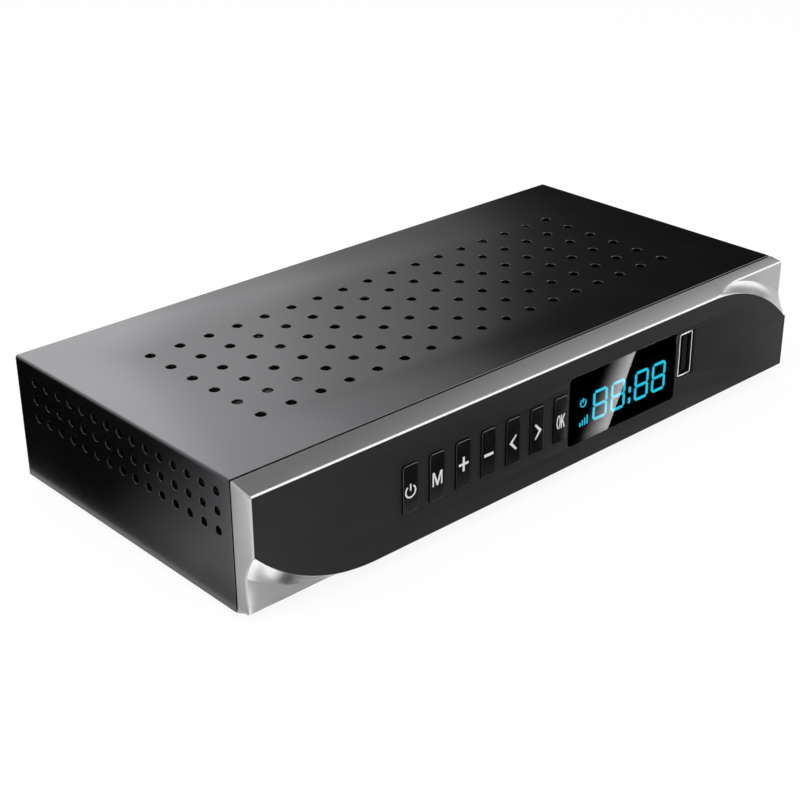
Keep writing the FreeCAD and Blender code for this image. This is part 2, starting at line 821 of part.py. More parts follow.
def display_digits():
    """Four seven-bar digits and a colon, each lamp bar a separate sliver on the module's face."""
    half = segment_width / 2
    low = from_underside(digit_bottom) + half
    high = low + digit_height - segment_width
    middle = (low + high) / 2
    bars = []
    for start in digit_starts():
        x0, x1 = start + half, start + digit_width - half
        for z in (low, middle, high):
            bars.append(bar(x0 + segment_gap, z, x1 - segment_gap, z))
        for x in (x0, x1):
            bars.append(bar(x, low + segment_gap, x, middle - segment_gap))
            bars.append(bar(x, middle + segment_gap, x, high - segment_gap))
    second, third = digit_starts()[1:3]
    colon_x = (second + digit_width + third) / 2
    for z in (low + segment_width, middle):
        bars.append(block(colon_x - half, colon_x + half, module_face() - segment_thickness, module_face(),
                          z - segment_width, z + segment_width))
    return Part.makeCompound(bars)


def infrared_receiver():
    """Small receiver above the display module, its raised lens towards the window."""
    centre_x = from_left(window_left()) + window_width / 2
    z0 = from_underside(module_bottom + module_height) + receiver_room
    lens_back = front_board_front - receiver_depth
    body = block(centre_x - receiver_width / 2, centre_x + receiver_width / 2, lens_back, front_board_front,
                 z0, z0 + receiver_height)
    lens = peg_y(centre_x, z0 + receiver_height / 2, lens_back - receiver_lens_depth, lens_back,
                 receiver_lens_radius, peg_sides)
    rim = [e for e in lens.Edges if e.BoundBox.YMax < lens_back - receiver_lens_depth / 2]
    return body.fuse(lens.makeChamfer(receiver_lens_depth / 3, rim))


# ---------------------------------------------------------------- front data socket

def data_socket_shell():
    """Folded metal shell, upright, open at the front."""
    y0 = fascia_front + data_recess
    outer = data_outline(0, 0)
    inner = data_outline(-data_wall, -data_wall)
    shell = prism_y(cut_corners(*outer, data_wall), y0, y0 + data_depth)
    return shell.cut(block(inner[0], inner[1], y0 - overshoot, y0 + data_depth + overshoot, inner[2],
                           inner[3]))


def data_socket_tongue():
    """Moulded base that closes the back of the shell, with the contact tongue on it."""
    y0 = fascia_front + data_recess
    y1 = y0 + data_depth
    inner = data_outline(-data_wall, -data_wall)
    base = block(inner[0], inner[1], y1 - tongue_base, y1, inner[2], inner[3])
    x, z = from_left(data_centre()) + tongue_offset, from_underside(data_centre_height)
    tongue = block(x - tongue_thickness / 2, x + tongue_thickness / 2, y0 + tongue_setback, y1 - tongue_base,
                   z - tongue_height / 2, z + tongue_height / 2)
    return base.fuse(tongue)


# ---------------------------------------------------------------- main board and what it carries

def main_board():
    board = block(-main_board_half, main_board_half, main_board_front, main_board_rear, main_board_bottom,
                  main_board_top)
    return board.cut([hole_z(x, y, main_board_bottom - overshoot, main_board_top + overshoot,
                             board_screw_radius + screw_gap, fastener_sides) for x, y in standoff_places()])


def board_standoffs():
    return Part.makeCompound([
        peg_z(x, y, tray_floor, main_board_bottom, standoff_radius, fastener_sides).cut(
            hole_z(x, y, tray_floor - overshoot, main_board_bottom + overshoot,
                   board_screw_radius + screw_gap, fastener_sides)) for x, y in standoff_places()])


def board_screws():
    z0 = main_board_bottom - board_screw_bite
    return Part.makeCompound([
        peg_z(x, y, z0, main_board_top, board_screw_radius, fastener_sides).fuse(
            peg_z(x, y, main_board_top, main_board_top + board_screw_head_height, board_screw_head_radius,
                  fastener_sides)) for x, y in standoff_places()])


def on_board(x, y, width, depth, height, lift=0.0):
    """A block centred at x and at y behind the main board's front edge, standing lift above the board."""
    centre_y = main_board_front + y
    z0 = main_board_top + lift
    return block(x - width / 2, x + width / 2, centre_y - depth / 2, centre_y + depth / 2, z0, z0 + height)


def processor():
    return on_board(processor_x, processor_y, processor_size, processor_size, processor_height)


def thermal_pad():
    return on_board(processor_x, processor_y, processor_size, processor_size, pad_thickness, processor_height)


def heat_sink():
    lift = processor_height + pad_thickness
    sink = on_board(processor_x, processor_y, heat_sink_size, heat_sink_size, heat_sink_height, lift)
    pitch = (heat_sink_size - fin_thickness) / (fin_count - 1)
    first_channel = processor_x - heat_sink_size / 2 + (fin_thickness + pitch) / 2
    channels = [on_board(first_channel + i * pitch, processor_y, pitch - fin_thickness,
                         heat_sink_size + 2 * overshoot, heat_sink_height, lift + heat_sink_base)
                for i in range(fin_count - 1)]
    return sink.cut(channels)


def memory_chips():
    return Part.makeCompound([on_board(memory_x, y, memory_width, memory_depth, memory_height)
                              for y in memory_y])


def crystal():
    can = on_board(crystal_x, crystal_y, crystal_width, crystal_depth, crystal_height)
    upright = [e for e in can.Edges if abs(e.Vertexes[0].Z - e.Vertexes[1].Z) > crystal_height / 2]
    return can.makeChamfer(crystal_depth / 3, upright)


def capacitors():
    return Part.makeCompound([
        peg_z(x, main_board_front + y, main_board_top, main_board_top + capacitor_height, capacitor_radius,
              peg_sides) for x, y in capacitor_places])


def coils():
    return Part.makeCompound([on_board(x, y, coil_size, coil_size, coil_height) for x, y in coil_places])


# ---------------------------------------------------------------- aerial sockets

def coax_z():
    return main_board_top + coax_height


def tuner_can():
    """Closed screening can whose back carries the two aerial sockets."""
    return block(tuner_left, tuner_left + tuner_width, panel_front - sheet_gap - tuner_depth,
                 panel_front - sheet_gap, main_board_top, main_board_top + tuner_height)


def coax_root():
    return panel_front - sheet_gap


def coax_end():
    return cover_rear + coax_reach


def aerial_input_sleeve():
    """Outer conductor of the input: the plug's barrel goes into its bore."""
    return peg_y(coax_input_x, coax_z(), coax_root(), coax_end(), coax_input_radius, peg_sides).cut(
        rod_y(coax_input_x, coax_z(), coax_root() - overshoot, coax_end() + overshoot, coax_input_bore))


def stepped_sleeve(x, z, y0, y1, radius, bore, collar_radius, collar_reach):
    """A sleeve with a wider collar at its root, which stands collar_reach past the rear panel."""
    sleeve = rod_y(x, z, y0, y1, radius).fuse(
        peg_y(x, z, y0, cover_rear + collar_reach, collar_radius, peg_sides))
    return sleeve.cut(hole_y(x, z, y0 - overshoot, y1 + overshoot, bore, peg_sides))


def aerial_output_sleeve():
    """Outer conductor of the output: the lead's socket goes over it."""
    return stepped_sleeve(coax_output_x, coax_z(), coax_root(), coax_end(), coax_output_radius,
                          coax_output_bore, coax_collar_radius, coax_collar_reach)


def aerial_insulators():
    y0, y1 = coax_root(), coax_root() + coax_insulator
    return Part.makeCompound([
        peg_y(coax_input_x, coax_z(), y0, y1, coax_input_bore, peg_sides),
        peg_y(coax_output_x, coax_z(), y0, y1, coax_output_bore, peg_sides)])


def aerial_contacts():
    """A bored contact in the input and a pin in the output, each standing on its insulator."""
    y0, y1 = coax_root() + coax_insulator, coax_end() - sheet
    socket = peg_y(coax_input_x, coax_z(), y0, y1, coax_contact_radius, peg_sides).cut(
        rod_y(coax_input_x, coax_z(), y0 + coax_contact_radius, y1 + overshoot, coax_contact_bore))
    pin = peg_y(coax_output_x, coax_z(), y0, y1, coax_pin_radius, fastener_sides)
    return Part.makeCompound([socket, pin])


# ---------------------------------------------------------------- digital video socket

def video_outline(margin):
    """The socket's outline, grown by margin: its two lower corners are cut."""
    x0, x1 = video_x - video_width / 2 - margin, video_x + video_width / 2 + margin
    z0, z1 = main_board_top - margin, main_board_top + video_height + margin
    return [(x0, z1), (x0, z0 + video_chamfer), (x0 + video_chamfer, z0), (x1 - video_chamfer, z0),
            (x1, z0 + video_chamfer), (x1, z1)]


def digital_video_shell():
    y1 = cover_rear + video_proud
    return prism_y(video_outline(0), y1 - video_depth, y1).cut(
        prism_y(video_outline(-video_wall), y1 - video_depth - overshoot, y1 + overshoot))


def digital_video_tongue():
    y1 = cover_rear + video_proud
    y0 = y1 - video_depth
    base = prism_y(video_outline(-video_wall), y0, y0 + video_base)
    z = main_board_top + video_height / 2
    tongue = block(video_x - video_tongue_width / 2, video_x + video_tongue_width / 2, y0 + video_base,
                   y1 - video_base / 2, z - video_tongue_thickness / 2, z + video_tongue_thickness / 2)
    return base.fuse(tongue)


# ---------------------------------------------------------------- phono jacks

def jack_z():
    return main_board_top + jack_height


def jack_housing():
    y1 = panel_front - sheet_gap
    return block(jack_x[0] - jack_housing_margin, jack_x[-1] + jack_housing_margin, y1 - jack_housing_depth,
                 y1, main_board_top, main_board_top + jack_housing_height)


def jack_sleeves():
    """Turned metal sleeves that the plugs grip, each with a collar in the rear panel's hole."""
    return Part.makeCompound([
        stepped_sleeve(x, jack_z(), panel_front - sheet_gap, cover_rear + jack_reach, jack_radius,
                       jack_radius - jack_wall, jack_collar_radius, jack_collar_reach) for x in jack_x])


def jack_insert(x):
    """Coloured core of one jack, bored for the plug's pin."""
    y0, y1 = panel_front - sheet_gap, cover_rear + jack_reach - jack_insert_setback
    return peg_y(x, jack_z(), y0, y1, jack_radius - jack_wall, peg_sides).cut(
        rod_y(x, jack_z(), cover_rear, y1 + overshoot, jack_contact_bore))


# ---------------------------------------------------------------- power jack

def power_jack():
    y1 = cover_rear + power_proud
    z = main_board_top + power_height / 2
    housing = block(power_x - power_width / 2, power_x + power_width / 2, y1 - power_depth, y1,
                    main_board_top, main_board_top + power_height)
    return housing.cut(rod_y(power_x, z, y1 - power_bore_depth, y1 + overshoot, power_bore))


def power_pin():
    y1 = cover_rear + power_proud
    return peg_y(power_x, main_board_top + power_height / 2, y1 - power_bore_depth, y1 - power_pin_setback,
                 power_pin_radius, peg_sides)


# ---------------------------------------------------------------- ribbon

def ribbon_places():
    """Where the ribbon leaves each header: (y, z) on the front board and (y, z) on the main board."""
    upper = (front_board_back + header_height, main_board_top + ribbon_height + ribbon_bend)
    lower = (main_board_front + header_setback + header_depth / 2, main_board_top + header_height)
    return upper, lower


def board_ribbon():
    """Flat ribbon: level out of the front board's header, round one bend, and down into the main board's."""
    (y0, z0), (y1, z1) = ribbon_places()
    half = ribbon_thickness / 2
    outer, inner = ribbon_bend + half, ribbon_bend - half
    centre_y, centre_z = y1 - ribbon_bend, z0 - ribbon_bend
    x0, x1 = ribbon_x - ribbon_width / 2, ribbon_x + ribbon_width / 2
    level = block(x0, x1, y0, centre_y, z0 - half, z0 + half)
    upright = block(x0, x1, y1 - half, y1 + half, z1, centre_z)
    ring = Part.makeCylinder(outer, ribbon_width, Vector(x0, centre_y, centre_z), Vector(1, 0, 0)).cut(
        Part.makeCylinder(inner, ribbon_width + 2 * overshoot, Vector(x0 - overshoot, centre_y, centre_z),
                          Vector(1, 0, 0)))
    bend = ring.common(block(x0, x1, centre_y, centre_y + outer, centre_z, centre_z + outer))
    return level.fuse([bend, upright]).removeSplitter()


def ribbon_headers():
    (y0, z0), (y1, z1) = ribbon_places()
    x0 = ribbon_x - ribbon_width / 2 - header_margin
    x1 = ribbon_x + ribbon_width / 2 + header_margin
    half = header_depth / 2
    return Part.makeCompound([block(x0, x1, front_board_back, y0, z0 - half, z0 + half),
                              block(x0, x1, y1 - half, y1 + half, main_board_top, z1)])


# ---------------------------------------------------------------- the receiver

nodes = {
    "top_cover": top_cover(),
    "base_tray": base_tray(),
    "rubber_feet": rubber_feet(),
    "case_screws": case_screws(),
    "bezel": bezel(),
    "fascia": fascia(),
    "display_window": display_window(),
    "display_module": display_module(),
    "display_digits": display_digits(),
    "infrared_receiver": infrared_receiver(),
    "front_board": front_board(),
    "front_board_screws": front_board_screws(),
    "tact_switches": tact_switches(),
    "data_socket_shell": data_socket_shell(),
    "data_socket_tongue": data_socket_tongue(),
    "main_board": main_board(),
    "board_standoffs": board_standoffs(),
    "board_screws": board_screws(),
    "processor": processor(),
    "thermal_pad": thermal_pad(),
    "heat_sink": heat_sink(),
    "memory_chips": memory_chips(),
    "crystal": crystal(),
    "capacitors": capacitors(),
    "coils": coils(),
    "tuner_can": tuner_can(),
    "aerial_input_sleeve": aerial_input_sleeve(),
    "aerial_output_sleeve": aerial_output_sleeve(),
    "aerial_insulators": aerial_insulators(),
    "aerial_contacts": aerial_contacts(),
    "digital_video_shell": digital_video_shell(),
    "digital_video_tongue": digital_video_tongue(),
    "jack_housing": jack_housing(),
    "jack_sleeves": jack_sleeves(),
    "power_jack": power_jack(),
    "power_pin": power_pin(),
    "board_ribbon": board_ribbon(),
    "ribbon_headers": ribbon_headers(),
}
for index, name in enumerate(key_names):
    nodes["key_" + name] = key(index)
    nodes["plunger_" + name] = plunger(index)
for x, name in zip(jack_x, jack_names):
    nodes["jack_insert_" + name] = jack_insert(x)

os.makedirs("parts", exist_ok=True)
for name, shape in nodes.items():
    shape.exportStep("parts/" + name + ".step")
print(len(nodes), "nodes")
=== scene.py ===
"""A set-top television receiver, dressed piece by piece in the order in which it is put together: the folded case,
the moulded bezel, the fascia with its keys and clock, and the sockets at the back. Shapes are worked out in
millimetres, in the same frame as the solids, and go into the meshes in metres.
"""
import bpy, bmesh, math
import numpy as np
from mathutils import Matrix, Vector
from mathutils.geometry import tessellate_polygon


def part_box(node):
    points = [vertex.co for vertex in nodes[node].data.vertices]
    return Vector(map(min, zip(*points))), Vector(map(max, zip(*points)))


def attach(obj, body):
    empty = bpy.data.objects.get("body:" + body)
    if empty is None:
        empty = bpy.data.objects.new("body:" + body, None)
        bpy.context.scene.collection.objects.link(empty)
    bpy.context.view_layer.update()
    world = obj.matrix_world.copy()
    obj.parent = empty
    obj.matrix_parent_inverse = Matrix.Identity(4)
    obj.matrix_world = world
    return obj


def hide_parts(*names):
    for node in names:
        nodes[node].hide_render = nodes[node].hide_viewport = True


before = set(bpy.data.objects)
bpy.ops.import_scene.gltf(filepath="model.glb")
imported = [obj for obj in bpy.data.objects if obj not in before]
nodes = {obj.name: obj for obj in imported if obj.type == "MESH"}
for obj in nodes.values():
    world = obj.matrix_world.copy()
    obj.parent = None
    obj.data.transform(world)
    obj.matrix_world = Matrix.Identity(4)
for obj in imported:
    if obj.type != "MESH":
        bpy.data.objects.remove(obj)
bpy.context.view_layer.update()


# ---------------------------------------------------------------- the cover
# One piece of 0.6 mm steel, punched with rows of round vents, folded down over both sides, and painted satin black.
# It slides over the tray and is held by three screws at the back.

def corners(node):
    """Lowest and highest corner of a solid, in millimetres."""
    return [np.array(corner) * 1000 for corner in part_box(node)]


class Skin:
    """Collects rows of points, in millimetres, and the faces between them."""

    def __init__(self):
        self.rows, self.faces, self.finishes, self.count, self.finish = [], [], [], 0, 0

    def row(self, points):
        """Adds points and returns their numbers."""
        numbers = np.arange(len(points)) + self.count
        self.rows.append(np.asarray(points, float))
        self.count += len(points)
        return numbers

    def add(self, faces):
        """Adds faces, each a list of point numbers, in the present finish."""
        faces = np.asarray(faces).tolist()
        self.faces += faces
        self.finishes += [self.finish] * len(faces)

    def band(self, one, other):
        """Quads between two closed rows of the same length."""
        self.add(np.stack([one, np.roll(one, -1), np.roll(other, -1), other], -1))

    def bands(self, rows, finishes=()):
        """Quads between each closed row and the next. Each band may have its own finish."""
        for i, (one, other) in enumerate(zip(rows[:-1], rows[1:])):
            self.finish = finishes[i] if finishes else self.finish
            self.band(one, other)

    def ribbon(self, one, other):
        """Quads between two open rows of the same length."""
        self.add(np.stack([one[:-1], one[1:], other[1:], other[:-1]], -1))

    def close(self, row):
        """One flat face inside a closed row."""
        self.add([row])

    def fill(self, loops, rows):
        """Triangles inside a flat outline, the first loop, and round its openings, the other loops."""
        flat = [np.c_[loop, np.zeros(len(loop))].tolist() for loop in loops]
        self.add(np.concatenate(rows)[np.array(tessellate_polygon(flat))])

    def piece(self, name, finishes, replaced=(), body="receiver", crease=30):
        """Makes the mesh: points that coincide are merged, faces turn outwards, and only edges that bend by more than
        crease degrees stay sharp. The mesh takes the finishes in order."""
        mesh = bpy.data.meshes.new(name)
        mesh.from_pydata((np.concatenate(self.rows) / 1000).tolist(), [], self.faces)
        mesh.polygons.foreach_set("material_index", self.finishes)
        shape = bmesh.new()
        shape.from_mesh(mesh)
        bmesh.ops.remove_doubles(shape, verts=shape.verts, dist=1e-6)
        bmesh.ops.delete(shape, geom=[v for v in shape.verts if not v.link_faces], context="VERTS")
        bmesh.ops.recalc_face_normals(shape, faces=shape.faces)
        shape.to_mesh(mesh)
        shape.free()
        mesh.shade_smooth()
        mesh.set_sharp_from_angle(angle=math.radians(crease))
        for finish in finishes:
            mesh.materials.append(finish.material)
        made = bpy.data.objects.new(name, mesh)
        bpy.context.scene.collection.objects.link(made)
        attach(made, body)
        if replaced:
            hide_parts(*replaced)


class Shade:
    """One output of a wiring's nodes. Sums, differences, products, shares and powers of it add Math nodes."""

    def __init__(self, wiring, socket):
        self.wiring, self.socket = wiring, socket

    def math(self, operation, *values, clamp=False):
        """A Math node in the same wiring, fed with the values."""
        settings = {"operation": operation, "use_clamp": clamp}
        return self.wiring.node("ShaderNodeMath", settings, dict(enumerate(values)))

    def __add__(self, other):
        return self.math("ADD", self, other)

    def __sub__(self, other):
        return self.math("SUBTRACT", self, other)

    def __rsub__(self, other):
        return self.math("SUBTRACT", other, self)

    def __mul__(self, other):
        return self.math("MULTIPLY", self, other)

    def __truediv__(self, other):
        return self.math("DIVIDE", self, other)

    def __pow__(self, other):
        return self.math("POWER", self, other)

    __radd__ = __add__
    __rmul__ = __mul__

    def clamped(self):
        """The value kept between 0 and 1."""
        return self.math("ADD", self, 0.0, clamp=True)

    def at_least(self, other):
        """The larger of two values."""
        return self.math("MAXIMUM", self, other)


class Wiring:
    """The nodes of a material or of the world, and the links between them."""

    def __init__(self, tree):
        self.tree = tree

    def link(self, value, socket):
        """Feeds a socket from one output of a node."""
        self.tree.links.new(value.socket, socket)

    def node(self, kind, settings={}, sockets={}, output=0):
        """Adds a node: first its settings, then the values or links of its sockets. Returns one of its outputs."""
        made = self.tree.nodes.new(kind)
        for setting, value in settings.items():
            if setting == "stops":
                ramp = made.color_ramp
                while len(ramp.elements) < len(value):
                    ramp.elements.new(0.5)
                for element, (place, colour) in zip(ramp.elements, value):
                    element.position, element.color = place, colour
            else:
                setattr(made, setting, value)
        for socket, value in sockets.items():
            if isinstance(value, Shade):
                self.link(value, made.inputs[socket])
            else:
                made.inputs[socket].default_value = value
        return Shade(self, made.outputs[output])


class Finish(Wiring):
    """A material. The words after its name are constants of its shader's own sockets."""

    def __init__(self, name, **constants):
        self.name, self.material = name, bpy.data.materials.new(name)
        self.material.use_nodes = True
        super().__init__(self.material.node_tree)
        self.shader = self.tree.nodes["Principled BSDF"]
        for socket, value in constants.items():
            self.shader.inputs[socket.replace("_", " ")].default_value = value

    def show(self, shader):
        """Gives the surface another shader than the material's own."""
        self.link(shader, self.tree.nodes["Material Output"].inputs["Surface"])

    def place(self, scale=(1, 1, 1)):
        """Where a point lies on the piece, in metres, times scale."""
        where = self.node("ShaderNodeTexCoord", output="Object")
        return self.node("ShaderNodeMapping", {}, {"Vector": where, "Scale": scale})

    def noise(self, size, detail, scale=(1, 1, 1)):
        """Noise from 0 to 1 whose blots are about size millimetres wide."""
        sockets = {"Vector": self.place(scale), "Scale": 1000 / size, "Detail": detail}
        return self.node("ShaderNodeTexNoise", {}, sockets)

    def blend(self, share, one, other):
        """The colour one where share is 0, and other where it is 1."""
        sockets = {"Factor": share, 6: one, 7: other}
        return self.node("ShaderNodeMix", {"data_type": "RGBA"}, sockets, 2)

    def feed(self, **sockets):
        """Links what varies over the surface to the shader."""
        for socket, value in sockets.items():
            self.link(value, self.shader.inputs[socket.replace("_", " ")])
        return self

    def bump(self, height, depth):
        """Raises the surface by depth millimetres where height is 1."""
        return self.feed(Normal=self.node("ShaderNodeBump", {}, {"Height": height, "Distance": depth / 1000}))


def grey(level, tint=(1.0, 1.0, 1.0)):
    """A colour from its linear grey level."""
    return (level * tint[0], level * tint[1], level * tint[2], 1.0)


def greys(low, high, *tint):
    """Two colours of one tint, from their grey levels."""
    return grey(low, *tint), grey(high, *tint)


def circle(centre_u, centre_v, radius, count):
    """Points round a circle: the centre plus radius times (cosine, sine) of equal turns."""
    turn = np.arange(count) * 2 * np.pi / count
    return np.stack([centre_u + radius * np.cos(turn), centre_v + radius * np.sin(turn)], -1)


def round_opening(centre_u, centre_v, radius, count):
    """A round opening that grows as its edge is dressed."""
    return lambda grow: circle(centre_u, centre_v, radius + grow, count)


def rounded(u0, u1, v0, v1, corner, steps=4):
    """A rectangle with rounded corners: four quarter turns of radius corner, each round its own corner centre."""
    turn = np.linspace(0, np.pi / 2, steps + 1)
    centres = [(u1 - corner, v1 - corner), (u0 + corner, v1 - corner),
               (u0 + corner, v0 + corner), (u1 - corner, v0 + corner)]
    return np.concatenate([np.stack([u + corner * np.cos(turn + quarter * np.pi / 2),
                                     v + corner * np.sin(turn + quarter * np.pi / 2)], -1)
                           for quarter, (u, v) in enumerate(centres)])


def folded_sheet(skin, runs, bend, thickness, width, holes, place):
    """Sheet metal with flat runs joined by right-angled bends that all turn the same way. u is measured along the
    outside of the sheet, v across it, and depth into it. Along a run, u adds to the place in that run's direction;
    round a bend of radius r the place turns by t: r sin t ahead and r (1 - cos t) to the side. A hole is (run, loop),
    where loop(grow) gives its outline in (u, v). Edges and holes have a small dressed chamfer."""
    steps, dressed = 6, 0.1
    quarter = bend * np.pi / 2
    starts = np.concatenate([[0], np.cumsum(np.array(runs[:-1]) + quarter)])
    stations = np.concatenate([np.concatenate([[s, s + r], s + r + quarter * np.arange(1, steps) / steps])
                               for s, r in zip(starts, runs)])[:-(steps - 1)]
    total = stations[-1]

    def folded(flat, depth):
        u, v = flat[:, 0], flat[:, 1]
        a, b, heading = 0 * u, 0 * u, 0 * u
        for i, (start, run) in enumerate(zip(starts, runs)):
            c, s = round(math.cos(i * math.pi / 2)), round(math.sin(i * math.pi / 2))
            along = np.clip(u - start, 0, run)
            turn = np.clip((u - start - run) / bend, 0, np.pi / 2 if i + 1 < len(runs) else 0)
            ahead, aside = along + bend * np.sin(turn), bend * (1 - np.cos(turn))
            a, b, heading = a + c * ahead - s * aside, b + s * ahead + c * aside, heading + turn
        return place(a - depth * np.sin(heading), b + depth * np.cos(heading), v)

    def edge(inset):
        line = np.clip(stations, inset, total - inset)
        front = np.stack([line, np.full_like(line, inset)], -1)
        back = np.stack([line, np.full_like(line, width - inset)], -1)
        return np.concatenate([front, back[::-1]])

    profile = [(dressed, 0), (0, dressed), (0, thickness)]
    edges = [skin.row(folded(edge(inset), depth)) for inset, depth in profile]
    openings = [[skin.row(folded(loop(inset), depth)) for inset, depth in profile] for _, loop in holes]
    for rows in [edges] + openings:
        skin.bands(rows)
    count = len(stations)
    per_run = steps + 1
    for layer, (inset, _) in ((0, profile[0]), (2, profile[2])):
        flat, numbers = edge(inset), edges[layer]
        for i in range(len(runs)):
            first = i * per_run
            four = [first, first + 1, 2 * count - 2 - first, 2 * count - 1 - first]
            inside = [k for k, (run, _) in enumerate(holes) if run == i]
            skin.fill([flat[four]] + [holes[k][1](inset) for k in inside],
                      [numbers[four]] + [openings[k][layer] for k in inside])
            if i + 1 < len(runs):
                bent = np.arange(first + 1, first + per_run + 1)
                skin.ribbon(numbers[bent], numbers[2 * count - 1 - bent])


sheet = 0.6
cover_bend = 0.7
cover_low, cover_high = corners("top_cover")
cover_deep = cover_high[1] - cover_low[1]
cover_tall = cover_high[2] - cover_low[2]
side_run = cover_tall - cover_bend
top_run = cover_high[0] - cover_low[0] - 2 * cover_bend
fold_length = cover_bend * math.pi / 2
cover_length = 2 * side_run + top_run + 2 * fold_length
top_columns, top_rows, top_vent = 17, 6, 1.4
top_pitch_across, top_pitch_deep, top_first_deep = 9.35, 9.2, 20.6
side_columns, side_rows, side_vent = 15, 3, 1.2
side_pitch_deep, side_pitch_down, side_first_deep, side_first_down = 5.52, 5.12, 5.1, 4.95
cover_holes = []
for column in range(top_columns):
    for vent_row in range(top_rows):
        u = side_run + fold_length + top_run / 2 + (column - (top_columns - 1) / 2) * top_pitch_across
        cover_holes.append((1, round_opening(u, top_first_deep + vent_row * top_pitch_deep, top_vent, 20)))
for column in range(side_columns):
    for vent_row in range(side_rows):
        u = cover_tall - side_first_down - vent_row * side_pitch_down
        v = side_first_deep + column * side_pitch_deep
        cover_holes.append((0, round_opening(u, v, side_vent, 16)))
        cover_holes.append((2, round_opening(cover_length - u, v, side_vent, 16)))
cover = Skin()
folded_sheet(cover, [side_run, top_run, side_run], cover_bend, sheet, cover_deep, cover_holes,
             lambda a, b, v: np.stack([cover_low[0] + b, cover_low[1] + v, cover_low[2] + a], -1))

# Baked enamel: a faint orange peel, and a sheen that varies a little from place to place.
cover_black = Finish("cover_black", Specular_Tint=(0.9, 0.88, 1.03, 1), Coat_Roughness=0.12)
patches = cover_black.noise(14.0, 3.0)
peel = cover_black.noise(0.9, 2.0)
cover_black.feed(Base_Color=cover_black.blend(patches, *greys(0.0017, 0.0023, (1, 1, 1.04))),
                 Roughness=patches * 0.06 + 0.22, Coat_Weight=patches * 0.1 + 0.35).bump(peel, 0.004)
cover.piece("cover_skin", [cover_black], ["top_cover"])


# ---------------------------------------------------------------- the tray
# The case's floor and, folded up from it, the rear panel: plain zinc-plated steel, punched for the sockets, the
# hooks of the bezel and a field of cooling slots. Low flanges stand inside the cover's sides.

def plate(skin, loops, profile, place, painted_shade_finish=None):
    """A flat plate with openings. Each loop(inset) gives its outline, or one opening's outline, moved inset into the
    metal. The profile lists (inset, depth) from the front face round the edge to the back face. The last band of the
    openings, their inner walls, may have a finish of its own: a dark one there is painted shade inside the opening."""
    rows = [[skin.row(place(loop(inset), depth)) for inset, depth in profile] for loop in loops]
    for i, row in enumerate(rows):
        outer = skin.finish
        skin.bands(row[:-1])
        skin.finish = painted_shade_finish if i and painted_shade_finish else outer
        skin.bands(row[-2:])
        skin.finish = outer
    for layer in (0, len(profile) - 1):
        skin.fill([loop(profile[layer][0]) for loop in loops], [row[layer] for row in rows])


def opening(u0, u1, v0, v1, corner):
    """A rounded opening that grows as its edge is dressed."""
    return lambda grow: rounded(u0 - grow, u1 + grow, v0 - grow, v1 + grow, corner + grow)


def centred(u, v, half_u, half_v, corner):
    """A rounded opening round its centre."""
    return opening(u - half_u, u + half_u, v - half_v, v + half_v, corner)


def block(u0, u1, v0, v1, corner, steps=4):
    """A rounded outline that is drawn in as its edge is dressed."""
    return lambda inset: rounded(u0 + inset, u1 - inset, v0 + inset, v1 - inset, corner, steps)


tray_low, tray_high = corners("base_tray")
tray_bend = 0.8
floor_run = tray_high[1] - tray_low[1] - tray_bend
panel_run = tray_high[2] - tray_low[2] - tray_bend
half_tray = tray_high[0]
panel_face = tray_high[1]
flange_front, flange_top = -39.925, 10.0
pillar_tall, board_thick = 5.8, 1.6
board_top = tray_low[2] + sheet + pillar_tall + board_thick
screw_places, screw_z, screw_hole = (-90.0, 0.0, 90.0), 32.4, 1.6
input_x, output_x, aerial_z, aerial_hole = -64.0, -44.0, board_top + 9.0, 6.3
jack_places, jack_z, jack_hole = (14.0, 28.0, 42.0), board_top + 7.5, 5.3
video_x, video_half, video_tall = -14.0, 7.5, 5.6
power_x, power_half, power_tall = 64.0, 4.5, 11.0
socket_gap = 0.3
hook_x, hook_half, hook_gap, hook_slot_y, hook_slot_half = 60.0, 4.0, 0.3, 2.75, 1.55
slot_middles, slot_count, slot_pitch, slot_half_long, slot_half_wide = (36.0, 62.0), 9, 9.0, 10.0, 1.5


def on_panel(z):
    """How far along the folded tray a height on the rear panel lies."""
    return floor_run + tray_bend * math.pi / 2 + z - tray_low[2] - tray_bend


def panel_opening(x, half, tall):
    """The rear panel's opening for a socket on the board, with a gap all round."""
    low, high = on_panel(board_top - socket_gap), on_panel(board_top + tall + socket_gap)
    return opening(low, high, half_tray + x - half - socket_gap, half_tray + x + half + socket_gap, 0.3)


tray_holes = [(0, centred(middle, half_tray + (i - (slot_count - 1) / 2) * slot_pitch, slot_half_long,
                          slot_half_wide, 1.4)) for middle in slot_middles for i in range(slot_count)]
tray_holes += [(0, centred(hook_slot_y, half_tray + x, hook_slot_half, hook_half + hook_gap, 0.2))
               for x in (-hook_x, hook_x)]
for places, z, radius in [((input_x, output_x), aerial_z, aerial_hole), (jack_places, jack_z, jack_hole),
                          (screw_places, screw_z, screw_hole)]:
    tray_holes += [(1, round_opening(on_panel(z), half_tray + x, radius, 48)) for x in places]
tray_holes += [(1, panel_opening(video_x, video_half, video_tall)),
               (1, panel_opening(power_x, power_half, power_tall))]
tray = Skin()
folded_sheet(tray, [floor_run, panel_run], tray_bend, sheet, 2 * half_tray, tray_holes,
             lambda a, b, v: np.stack([v - half_tray, tray_low[1] + a, tray_low[2] + b], -1))
flange = block(flange_front, panel_face - sheet, tray_low[2] + sheet, flange_top, 1.0)
for side in (-1, 1):
    plate(tray, [flange], [(0.1, 0), (0, 0.1), (0, sheet)],
          lambda flat, depth: np.insert(flat, 0, side * (half_tray - depth), axis=1))
tray_steel = Finish("tray_steel", Metallic=1.0)
crystals = {"Vector": tray_steel.place(), "Scale": 220.0}
spangle = tray_steel.node("ShaderNodeTexVoronoi", {}, crystals, "Color")
spangle = tray_steel.node("ShaderNodeSeparateColor", {}, {"Color": spangle})
